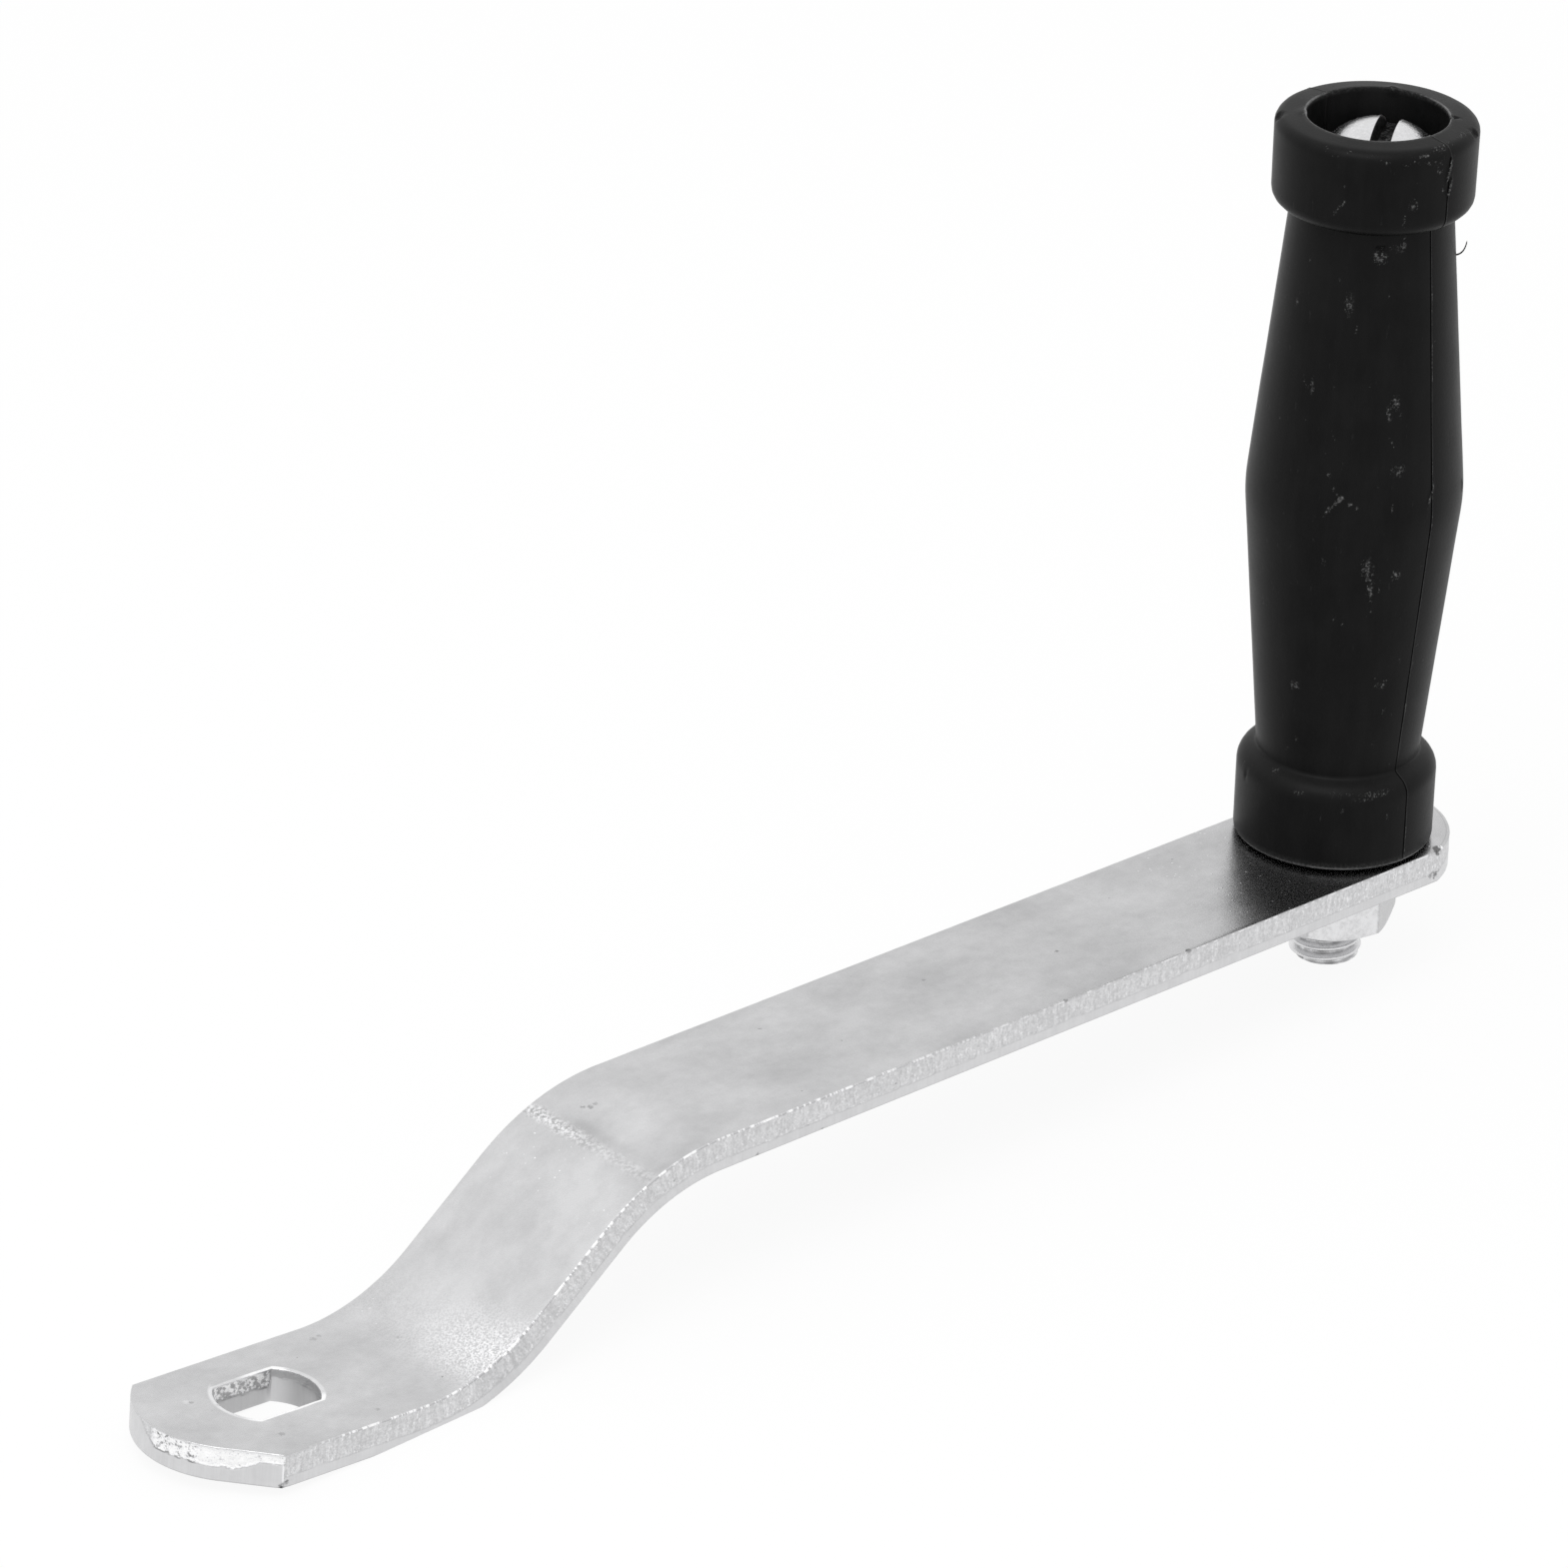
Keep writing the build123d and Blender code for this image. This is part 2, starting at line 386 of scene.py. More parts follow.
class Board:
    """One material's or world's node tree, with one method that adds any node."""

    def __init__(self, tree: bpy.types.NodeTree) -> None:
        """Clears the tree and keeps it."""
        tree.nodes.clear()
        self.tree = tree

    def node(self, kind: str, settings: dict[str, Any], sockets: dict[Any, Any]) -> list[Signal]:
        """Adds a node.

        Args:
            kind: The node's type, as it goes on after ShaderNode.
            settings: Its properties, set first.
            sockets: Values or signals by socket name or index.

        Returns:
            Its enabled outputs in order.
        """
        made = self.tree.nodes.new("ShaderNode" + kind)
        for name, value in settings.items():
            setattr(made, name, value)
        for key, value in sockets.items():
            if isinstance(value, Signal):
                self.tree.links.new(value.socket, made.inputs[key])
            else:
                made.inputs[key].default_value = value
        return [Signal(self, socket) for socket in made.outputs if socket.enabled]

    def place(self) -> Signal:
        """Returns the place on the piece, in millimetres."""
        return self.node("TexCoord", {}, {})[3].stretched(1 / MM, 1 / MM, 1 / MM)

    def kept(self, name: str) -> Signal:
        """Returns a vector that is kept on the mesh's points under a name."""
        return self.node("Attribute", {"attribute_name": name}, {})[1]

    def noise(self, where: Signal, size: float, detail: float = 3.0, roughness: float = 0.55) -> Signal:
        """Adds noise whose blobs are about one size wide.

        Args:
            where: Vector that it is read at.
            size: Width of a blob, in the vector's unit.
            detail: Number of finer layers.
            roughness: Strength of each finer layer.

        Returns:
            Noise from 0 to 1 about 0.5.
        """
        sockets = {"Vector": where, "Scale": 1 / size, "Detail": detail, "Roughness": roughness}
        return self.node("TexNoise", {}, sockets)[0]

    def cells(self, where: Signal, size: float) -> Signal:
        """Returns the distance to the nearest of scattered points, 0 at a point."""
        return self.node("TexVoronoi", {}, {"Vector": where, "Scale": 1 / size})[0]

    def plainly_seen(self) -> Signal:
        """Returns 1 for a camera, glossy or transmission ray, and 0 for others."""
        path = self.node("LightPath", {}, {})
        return path[0].most(path[3]).most(path[6])

    def blend(self, first: Any, second: Any, amount: Signal) -> Signal:
        """Mixes two colours, all of the second where the amount is 1."""
        return self.node("Mix", {"data_type": "RGBA"}, {0: amount, 6: first, 7: second})[0]

    def shade(self, dark: float, light: float, amount: Signal, tint: float = PLATED_TINT) -> Signal:
        """Mixes two greys.

        Args:
            dark: Grey where the amount is 0.
            light: Grey where it is 1.
            amount: The share of the light grey.
            tint: How much bluer than red the greys are.

        Returns:
            The colour.
        """
        return self.blend((dark, dark, dark * tint, 1.0), (light, light, light * tint, 1.0), amount)

    def coats(self, colour: Signal, *layers: Layer, tint: float = PLATED_TINT) -> Signal:
        """Lays greys over a colour, one after another.

        Args:
            colour: What lies under them.
            *layers: The greys.
            tint: How much bluer than red the greys are.

        Returns:
            The colour.
        """
        for dark, light, amount, cover in layers:
            colour = self.blend(colour, self.shade(dark, light, amount, tint), cover)
        return colour

    def surface(
        self, colour: Signal, rough: Signal, height: Signal, depth: float, further: dict[str, float]
    ) -> None:
        """Ends a material in one shader.

        Args:
            colour: Its base colour.
            rough: Its roughness.
            height: Height of its relief.
            depth: What a height of 1 stands for, in millimetres.
            further: Its further sockets.
        """
        bump = {"Strength": 1.0, "Distance": depth * MM, "Height": height}
        sockets = {"Base Color": colour, "Roughness": rough, "Normal": self.node("Bump", {}, bump)[0]}
        self.finish(self.node("BsdfPrincipled", {}, {**sockets, **further})[0])

    def finish(self, shader: Signal, output: str = "OutputMaterial") -> None:
        """Joins a shader to the tree's output."""
        self.node(output, {}, {"Surface": shader})


def new_material(name: str) -> tuple[bpy.types.Material, Board]:
    """Makes a material with an empty board.

    Args:
        name: The material's name.

    Returns:
        The material and its board.
    """
    material = bpy.data.materials.new(name)
    material.use_nodes = True
    return material, Board(material.node_tree)


# ---------------------------------------------------------------------------------------------
# Finishes


PITS = (  # run, across, depth, size, strength
    (137.5, -2.7, 0.0, 0.3, 0.75), (61.3, 4.9, 0.0, 0.35, 0.45), (61.9, 4.2, 0.0, 0.4, 0.45),
    (62.8, 4.2, 0.0, 0.3, 0.35), (-5.0, -9.2, 0.0, 0.5, 0.35), (9.0, -11.0, 0.0, 0.35, 0.3),
    (13.8, 8.0, 0.0, 0.5, 0.3), (14.9, 8.3, 0.0, 0.35, 0.3), (21.8, 0.6, 0.0, 0.3, 0.3),
    (118.0, 2.2, 0.0, 0.22, 0.4), (168.5, 7.2, 0.0, 0.25, 0.4), (92.0, 5.4, 0.0, 0.24, 0.4),
    (-9.3, 3.4, 0.0, 0.35, 0.35), (-8.0, -13.7, 4.5, 0.55, 0.9), (-7.4, -13.7, 4.1, 0.4, 0.8),
    (198.6, -13.7, 3.7, 0.5, 0.9), (197.6, -13.7, 3.4, 0.3, 0.6), (198.9, -13.4, 0.1, 0.65, 1.3),
    (199.3, -12.9, 0.0, 0.65, 1.3), (151.5, -13.7, 0.0, 0.5, 0.5), (129.0, -13.7, 0.1, 0.35, 0.5),
    (75.0, -13.7, 4.7, 0.4, 0.6), (86.0, -13.7, 4.6, 0.3, 0.6),
)


@dataclass(frozen=True)
class PlatedBar:
    """Bright zinc over pressed flat bar: satin faces, torn and burnished blanked walls.

    Places and sizes are millimetres on the flat blank. The shares in rise and fall are levels of
    the noise that they act on, unless they act on a place.
    """

    face_grey: float = 0.58
    burnished_grey: float = 0.66
    face_roughness: float = 0.27
    bump_depth: float = 0.016
    lower_bend: float = 25.5  # middle of the bright patch of painted sheen, along the blank
    upper_bend: float = 57.0  # ridge over the upper bend
    bead: tuple[float, float, float] = (-9.8, 3.8, 0.0)  # a nodule of plating
    bead_size: float = 0.6
    hole_radius: float = 6.8
    corner: tuple[float, float, float] = (-8.1, -13.7, 0.0)  # the hub pad's near corner
    end_arc: tuple[float, float, float] = (194.35, 0.0, 0.0)  # centre of the grip end's outline
    end_radius: float = 14.0  # of the painted dark line where its rolled edge starts
    glint: tuple[float, float, float] = (199.95, -13.0, 0.1)  # beside the grip end's nick
    glint_size: float = 0.5
    pit_growth: float = 1.2
    jitter: float = 0.5  # mean shift of a pit by the noise that tears its edge
    pit_depth: float = 5.0  # in units of the relief

    def face(self, board: Board, blank: Signal, place: Signal, rim: Signal) -> tuple[Signal, Signal, Signal]:
        """Shades the bar's faces.

        Args:
            board: The material's board.
            blank: Place on the flat blank.
            place: Place on the piece.
            rim: Closeness to the drive hole's edge.

        Returns:
            Colour, height and how rough it is, from 0 to 1.
        """
        run, across, _ = blank.parts()
        cloud = board.noise(blank.stretched(0.6, 1.0, 1.0), 11.0, 5.0, 0.6)
        mottle = board.noise(place, 1.9, 4.0, 0.6)
        grain = board.noise(place, 0.34, 3.0, 0.7)
        fine = board.noise(place, 0.17, 2.0)
        lump = board.noise(place, 0.75, 4.0, 0.75)
        bits = board.noise(place, 0.5, 4.0, 0.75)
        crest = run + (board.noise(place, 4.0) - 0.5) * 1.2 - self.upper_bend
        ridge = abs(crest + (lump - 0.5) * 2.0).fall(0.1, 1.5) * (0.35 + 0.65 * across.rise(-6.0, 5.0))
        # Painted shadow just past the upper bend's ridge, and a painted pool of light further on.
        shadow = abs(crest - 1.4).fall(0.1, 1.8) * abs(across + 0.5).fall(4.0, 9.0)
        painted_glow = abs(crest - 7.0).fall(0.5, 6.0) * abs(across + 3.0).fall(4.0, 12.0)
        # Painted sheen and sparkle at the lower bend, brightest on the near side; the bend is rougher there
        # too.
        lower = abs(run + across * 0.1 - self.lower_bend).fall(0.5, 8.5)
        near = (across * -1.0).rise(-10.0, 12.5)
        sheen_patch = lower * (0.12 + 0.88 * near * near)
        # Painted glints: scattered bright dots round the bends and near the grip.
        glints = crest.rise(-15.0, -5.0) * crest.fall(0.0, 2.5) + lower * 0.7 + run.rise(158.0, 166.0)
        glint_dots = board.cells(place, 0.95).fall(0.07, 0.17) * glints * board.noise(place, 2.6).rise(0.42, 0.6)
        tone = 0.5 + (cloud - 0.5) * 1.7 + (mottle - 0.5) * 0.5 + (grain - 0.5) * 0.28
        tone = tone + painted_glow * 0.2 - shadow * 0.35 + lower * 0.1
        # Painted light and shade: lighter on the sloped ramp, darker further along the raised arm.
        tone = tone + run.rise(22.0, 32.0) * crest.fall(-8.0, 6.0) * 0.3 - crest.rise(0.0, 60.0) * 0.22
        away = blank.stretched(1.0, 1.0, 0.0).length()
        band = away.fall(self.hole_radius + 0.6, self.hole_radius + 0.68) * run.fall(-5.2, -3.8)
        # Painted highlight along the drive hole's burred edge, strongest on its near flat and far corner.
        pressed = (across.fall(-4.6, -3.2)).most(across.rise(3.4, 4.4) * run.rise(-1.0, 1.5))
        burr_highlight = rim.rise(0.15, 0.4) * away.fall(8.5, 9.5) * (0.35 + 0.65 * pressed)
        colour = board.coats(
            board.shade(self.face_grey * 0.8, self.face_grey * 1.2, tone),
            # lumps on the upper bend's ridge, with painted light and shade on them
            (0.34, 1.0, bits.rise(0.4, 0.6), ridge * 0.75),
            # painted sheen and sparkle at the lower bend
            (0.54, 1.0, (grain * 0.6 + fine * 0.4).rise(0.4, 0.6), sheen_patch),
            # painted glints
            (0.86, 0.96, fine, glint_dots * 0.9),
            (0.62, 0.78, mottle, band * away.fall(9.0, 9.5) * 0.85),
            # painted highlight along the drive hole's burred edge
            (0.55, 1.0, lump.rise(0.3, 0.48).most(pressed * 0.8), burr_highlight),
            # painted highlight on the bead
            (0.68, 0.74, fine, blank.near(self.bead, self.bead_size)),
        )
        height = grain * 0.5 + fine * 0.4 + mottle * 0.5 + (ridge + sheen_patch) * bits * 3.0 + glint_dots * 1.5
        return colour, height, (grain - 0.5) * 0.5 + (cloud - 0.5) * 0.4 + ridge * 0.5 + sheen_patch * 0.5

    def pitted(self, board: Board, blank: Signal) -> Signal:
        """Adds up the pits and nicks, each a ragged blot round its place on the blank, and strays.

        Args:
            board: The material's board.
            blank: Place on the flat blank.

        Returns:
            How deep in a pit a point lies, from 0 to 1.
        """
        total = board.cells(blank, 4.7).fall(0.012, 0.035) * 0.6
        torn = blank.moved(board.node("TexNoise", {}, {"Vector": blank, "Scale": 2.0, "Detail": 3.0})[1])
        for run, across, depth, size, strength in PITS:
            place = (run + self.jitter, across + self.jitter, depth + self.jitter)
            total = total + strength * torn.near(place, size * self.pit_growth)
        return total.least(1.0)

    def walls(self, board: Board, blank: Signal, place: Signal, wall: Signal) -> tuple[Signal, Signal]:
        """Shades the blanked walls: torn metal over a ledge in painted shade over burnished metal.

        Args:
            board: The material's board.
            blank: Place on the flat blank.
            place: Place on the piece.
            wall: Force of the tear, torn share and wall share.

        Returns:
            Colour and height.
        """
        force, torn, _ = wall.parts()
        run, _, depth = blank.parts()
        flat = blank.stretched(1.0, 1.0, 0.0)
        inside = flat.length().fall(8.0, 9.0)
        streak = board.noise(blank.stretched(1.0, 1.0, 0.16), 0.5, 4.0, 0.75)
        lump = board.noise(place, 0.6, 4.0, 0.8)
        crumb = board.noise(place, 0.3, 3.0, 0.75)
        fleck = board.noise(blank.stretched(1.0, 1.0, 0.38), 0.32, 3.0, 0.75)
        boulder = board.noise(place, 0.65, 3.0, 0.7)
        drag = board.noise(blank.stretched(1.0, 1.0, 0.05), 0.42, 3.0, 0.6)
        soft = board.noise(place, 2.6, 3.0)
        bright = (boulder * 0.7 + crumb * 0.3).rise(0.44, 0.55) * force.rise(0.5, 0.8)
        # The torn metal's own streaks and lumps, with painted highlights and shade: light flecks, lumps from
        # near black to white, near white sparkle where the tear is strongest and bright lumps in the hole.
        torn_colour = board.coats(
            board.shade(0.56, 0.8, (streak * 0.42 + lump * 0.3 + crumb * 0.28).rise(0.36, 0.66)),
            (0.9, 1.0, lump, fleck.rise(0.57, 0.64) * 0.7),
            (0.2, 1.0, (boulder * 0.65 + crumb * 0.35).rise(0.36, 0.52), force.rise(0.58, 0.8)),
            (0.66, 1.0, (crumb * 0.6 + boulder * 0.4).rise(0.34, 0.48), force.rise(0.96, 1.06)),
            (0.46, 1.0, bright, inside),
        )
        smooth = board.shade(self.burnished_grey * 0.84, self.burnished_grey * 1.2, drag * 0.5 + soft * 0.5)
        # Painted shade in the drive hole: its walls darker towards its round end, lighter on its flank.
        round_end = drag * 0.5 + soft * 0.3 + run.rise(5.6, 6.8) * 0.5
        flank = run.rise(3.2, 4.9) * run.fall(4.8, 6.6)
        hole = board.coats(board.shade(0.56, 0.42, round_end), (0.6, 0.68, drag, flank))
        smooth = board.blend(smooth, hole, inside)
        # Painted shade: a dark line along the ledge and a darker foot, where the wall turns under the bar.
        ledge = torn.rise(0.04, 0.35) * torn.fall(0.5, 0.95)
        dark = ledge * (0.15 + 0.75 * force.rise(0.5, 0.9)) * board.noise(place, 1.3).rise(0.3, 0.6)
        dark = dark * (1 - 0.75 * force.rise(0.96, 1.06)) * (1 - 0.7 * inside)
        foot = depth.rise(4.5, 4.72) * (1 - inside)
        colour = board.coats(
            board.blend(smooth, torn_colour, torn.rise(0.35, 0.75)),
            # painted shade along the ledge and at the foot
            (0.12, 0.3, crumb, dark.most(foot * 0.55)),
            # painted highlight down the hub pad's near corner
            (0.9, 1.0, crumb, flat.distance(self.corner).fall(0.06, 0.22) * 0.9),
        )
        return colour, drag * 0.8 + torn * (lump * 2.5 + crumb * 1.6 + streak * 1.2) * (0.6 + force)

    def material(self) -> bpy.types.Material:
        """Builds the finish.

        Returns:
            The material, which reads the mesh's blank and wall vectors.
        """
        material, board = new_material("bright zinc on flat bar")
        place, blank, wall = board.place(), board.kept("blank"), board.kept("wall")
        _, torn, is_wall = wall.parts()
        run, across, depth = blank.parts()
        on_face = 1 - is_wall
        face_colour, face_height, uneven = self.face(board, blank, place, torn * on_face)
        wall_colour, wall_height = self.walls(board, blank, place, wall)
        along = blank.stretched(1.0, 0.0, 0.0)
        ticks = board.noise(along, 0.8, 4.0, 0.7)
        spells = board.noise(along, 3.4, 3.0, 0.7)
        # Painted highlight in dashes along the near top edge's burr, with rougher gaps between.
        dashes = (ticks * 0.5 + spells * 0.5).rise(0.49, 0.53)
        near = across.fall(-13.58, -13.4) * (1 - 0.5 * run.rise(80.0, 120.0)) * run.rise(-7.0, 4.0)
        burr_highlight = depth.fall(0.2, 0.3) * near * run.fall(198.0, 199.0)
        # Painted shade: a thin dark line where the grip end's rolled edge starts.
        ring = blank.stretched(1.0, 1.0, 0.0).distance(self.end_arc) - self.end_radius
        line = abs(ring + (ticks - 0.5) * 0.1).fall(0.02, 0.1) * run.rise(199.0, 200.0) * on_face
        pit = self.pitted(board, blank)
        colour = board.coats(
            board.blend(face_colour, wall_colour, is_wall),
            # painted highlight along the near top edge
            (0.62, 1.0, dashes, burr_highlight),
            (0.25, 0.4, ticks, line * 0.55),
            # pits and nicks painted near black: painted shade in their hollows
            (0.03, 0.12, face_height, pit * 0.92),
            # painted glint beside the grip end's nick
            (0.95, 1.0, ticks, blank.near(self.glint, self.glint_size)),
        )
        height = face_height * on_face + wall_height * is_wall - pit * self.pit_depth
        rough = self.face_roughness + uneven * 0.3 + is_wall * (0.08 + 0.15 * torn)
        rough = rough + burr_highlight * (1 - dashes) * 0.5
        board.surface(colour, rough, height, self.bump_depth, {"Metallic": 1.0})
        return material


@dataclass(frozen=True)
class PlatedFastener:
    """Bright zinc over a rolled or turned fastener."""

    name: str
    grey: float
    roughness: float
    texture: float  # size of the surface's unevenness, mm
    mark_strength: float
    bump_depth: float = 0.03

    def material(self) -> bpy.types.Material:
        """Builds the finish.

        Returns:
            The material, which reads the painted shade of each of the nut's flats and the painted shade in
            the screw's slot and grooves.
        """
        material, board = new_material(self.name)
        place = board.place()
        cloud = board.noise(place, 2.4, 4.0, 0.6)
        mark = board.noise(place, self.texture, 4.0, 0.7)
        grain = board.noise(place, 0.16, 2.0)
        nut_flat_shade, recess, _ = board.kept("wall").parts()
        # Painted light and shade: each of the nut's flats is painted lighter or darker.
        tone = 0.5 + (cloud - 0.5) * 0.6 + (mark - 0.5) * self.mark_strength - nut_flat_shade
        plating = board.shade(self.grey * 0.72, self.grey * 1.14, tone)
        # Painted shade: near black in the screw's slot, darker in the thread's grooves.
        colour = board.coats(plating, (0.004, 0.09, mark.rise(0.42, 0.66), recess))
        rough = self.roughness + (mark - 0.5) * 0.2 + (grain - 0.5) * 0.08 + recess * 0.25
        board.surface(colour, rough, mark * 1.3 + grain * 0.2, self.bump_depth, {"Metallic": 1.0})
        return material


@dataclass(frozen=True)
class BlackMoulding:
    """Black moulded plastic with scuffs, fine scratches and pale dust in its marks, with painted light on
    faces that point up and a painted highlight along its rims.
    """

    name: str
    black: float
    specular: float
    scuffed: float = 0.13
    bump_depth: float = 0.03

    def material(self) -> bpy.types.Material:
        """Builds the finish.

        Returns:
            The material, which reads the mesh's vector of scuffs, painted rim highlight and painted top
            light.
        """
        material, board = new_material(self.name)
        place = board.place()
        scuff, edge, top_light = board.kept("wear").parts()
        cloud = board.noise(place, 6.0, 4.0, 0.6)
        smear = board.noise(place.stretched(1.0, 1.0, 0.2), 2.2, 4.0, 0.65)
        skin = board.noise(place, 0.3, 3.0, 0.6)
        crumb = board.noise(place, 0.36, 4.0, 0.75)
        patchy = board.noise(place, 6.5, 2.0).rise(0.46, 0.62)
        dust = board.cells(place, 3.4).fall(0.018, 0.05) * patchy
        lines = board.noise(place.stretched(1.0, 1.0, 0.16), 0.42, 2.0)
        scratch = lines.rise(0.66, 0.72) * board.noise(place, 3.4).rise(0.52, 0.64)
        broken = (scuff + (crumb - 0.5) * 2.4 * scuff.rise(0.02, 0.3) - 0.42).rise(0.0, 0.4)
        # The rims' painted highlight goes into the pale marks and again as a lighter grey.
        mark = (broken + dust * 0.6 + scratch * 0.12 + edge * skin.rise(0.25, 0.55)).least(1.0)
        # Painted light: faces that point up are painted lighter.
        tone = 0.3 + (cloud - 0.5) * 0.9 + (smear - 0.5) * 0.9 + top_light * 0.75
        edge_highlight = edge.rise(0.5, 0.95) * skin.rise(0.2, 0.45) * (0.35 + 0.65 * cloud.rise(0.4, 0.55))
        colour = board.coats(
            board.shade(self.black * 0.5, self.black * 2.6, tone, 1.0),
            (self.scuffed * 0.3, self.scuffed, crumb.rise(0.46, 0.66), mark),
            (0.1, 0.34, crumb, edge_highlight * 0.75),
            tint=1.0,
        )
        rough = 0.42 + (cloud - 0.5) * 0.14 + (skin - 0.5) * 0.1 + mark * 0.2
        height = skin * 0.5 + cloud * 1.2 + broken * 2.0 - scratch * 0.6
        board.surface(colour, rough, height, self.bump_depth, {"Specular IOR Level": self.specular})
        return material


def dress(
    piece: bpy.types.Object, materials: list[bpy.types.Material], body: Body, node: str
) -> None:
    """Gives a piece its finish and puts it in its node's place.

    Args:
        piece: The piece.
        materials: Its finishes, by material index.
        body: The body that it moves with.
        node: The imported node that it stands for.
    """
    for material in materials:
        piece.data.materials.append(material)
    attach(piece, body.value)
    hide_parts(node)
    LOG.info("%s: %d faces, on %s", piece.name, len(piece.data.polygons), body.value)


# ---------------------------------------------------------------------------------------------
# Arm


@dataclass
class Joggle:
    """The pressed bar's side view: hub pad, ramp and raised arm with a bend between each pair.

    The blank's run is measured along the upper face from the drive hole. The face's slope is
    constant on the straights and changes evenly with the run in the bends, so that they are arcs.
    """

    thickness: float
    rise: float
    throw: float
    brow: float = 52.3  # drive hole to where raised arm and ramp would meet
    ramp: float = np.radians(37.7)
    tilt: float = np.radians(3.4)
    inner_radius: float = 26.5
    step: float = 0.02

    def __post_init__(self) -> None:
        """Works out the slope at the bends' ends and adds up the path from it."""
        foot = (self.brow * np.tan(self.ramp) - self.rise) / (np.tan(self.ramp) + np.tan(self.tilt))
        outer_radius = self.inner_radius + self.thickness
        turn = self.ramp + self.tilt
        lower_tangent = self.inner_radius * np.tan(turn / 2)
        upper_tangent = outer_radius * np.tan(self.ramp / 2)
        ramp_length = (self.brow - foot) / np.cos(self.ramp)
        bend_starts = foot / np.cos(self.tilt) - lower_tangent
        bend_ends = bend_starts + self.inner_radius * turn
        crest_starts = bend_ends + ramp_length - lower_tangent - upper_tangent
        crest_ends = crest_starts + outer_radius * self.ramp
        self.grip_run = crest_ends + self.throw - self.brow - upper_tangent
        self.run = np.arange(-30, self.grip_run + 30, self.step)
        stations = [bend_starts, bend_ends, crest_starts, crest_ends]
        self.slope = np.interp(self.run, stations, [-self.tilt, self.ramp, self.ramp, 0])
        middle = (self.slope[1:] + self.slope[:-1]) / 2
        self.reach = np.concatenate([[0], np.cumsum(np.cos(middle) * self.step)])
        self.height = np.concatenate([[0], np.cumsum(np.sin(middle) * self.step)])
        self.reach -= np.interp(0, self.run, self.reach)
        self.height -= np.interp(0, self.run, self.height)

    def bend(self, flat: np.ndarray, depth: np.ndarray) -> np.ndarray:
        """Carries points of the flat blank onto the pressed bar: path minus depth times its normal.

        Args:
            flat: Places in the blank's plane, along the run and across.
            depth: Distances under the upper face.

        Returns:
            The points, in millimetres.
        """
        run, across = flat[..., 0], flat[..., 1]
        slope = np.interp(run, self.run, self.slope)
        x = np.interp(run, self.run, self.reach) + depth * np.sin(slope)
        z = np.interp(run, self.run, self.height) - depth * np.cos(slope)
        return vectors(x, across, z)


class Face(Enum):
    """The bar's two faces."""

    UPPER = 0
    LOWER = -1


@dataclass
class Loop:
    """A closed line in the blank's plane and the wall that blanking leaves down it.

    It runs clockwise seen from above. At each point the way out of the metal is the sum of both
    neighbouring edges' normals over one plus their dot product, so that insets keep corners sharp.
    """

    points: np.ndarray
    tear: np.ndarray  # torn share of the wall's depth, from the top
    force: np.ndarray  # how coarsely it is torn
    side: int  # 1 round metal, -1 round a hole
    seed: int
    top_inset: float = 0.18
    foot_inset: float = 0.3
    notch: float = 1.1  # length of the upper edge's unevenness, mm

    def __post_init__(self) -> None:
        """Works out the run, the way out of the metal and the upper edge's uneven inset."""
        ahead = np.roll(self.points, -1, axis=0) - self.points
        length = np.linalg.norm(ahead, axis=1)
        normal = vectors(-ahead[:, 1], ahead[:, 0]) / length[:, None]
        before = np.roll(normal, 1, axis=0)
        product = np.sum(normal * before, axis=1)[:, None]
        self.outward = self.side * (normal + before) / (1 + product)
        self.run = np.concatenate([[0], np.cumsum(length)[:-1]])
        ragged = rough_noise(vectors(self.run, 0.0) / self.notch, self.seed + 31)
        self.top = self.top_inset * (1 + 0.5 * ragged * np.minimum(self.force * 1.5, 1))
        self.foot = np.full_like(self.top, self.foot_inset)

    def inset(self, face: Face) -> np.ndarray:
        """Returns how far in a face's edge lies, at each point."""
        return self.top if face is Face.UPPER else self.foot

    def edge(self, face: Face) -> np.ndarray:
        """Returns the points where a face meets the wall."""
        return self.points - self.outward * self.inset(face)[:, None]


@dataclass(frozen=True)
class Bite:
    """A nick or nodule: its place on the blank, its size and how far it sinks, in mm."""

    run: float
    across: float
    depth: float
    radius: float
    sink: float

    def bell(self, flat: np.ndarray, depth: np.ndarray) -> np.ndarray:
        """Returns the sink times a bell of the distance from the place."""
        away = (flat[..., 0] - self.run) ** 2 + (flat[..., 1] - self.across) ** 2
        return self.sink * spot(np.sqrt(away + (depth - self.depth) ** 2), self.radius)


NICKS = tuple(Bite(*row) for row in (
    (-8.1, -13.7, 4.5, 0.55, 0.5), (-7.2, -13.7, 4.2, 0.35, 0.3), (198.3, -13.7, 3.7, 0.6, 0.5),
    (199.2, -13.4, 0.2, 0.5, 0.35), (150.0, -13.7, 0.0, 0.5, 0.12), (101.0, -13.7, 0.0, 0.4, 0.1),
))
NODULES = (Bite(-9.8, 3.8, 0.0, 0.45, -0.2), Bite(9.6, -11.2, 0.0, 0.35, -0.08))


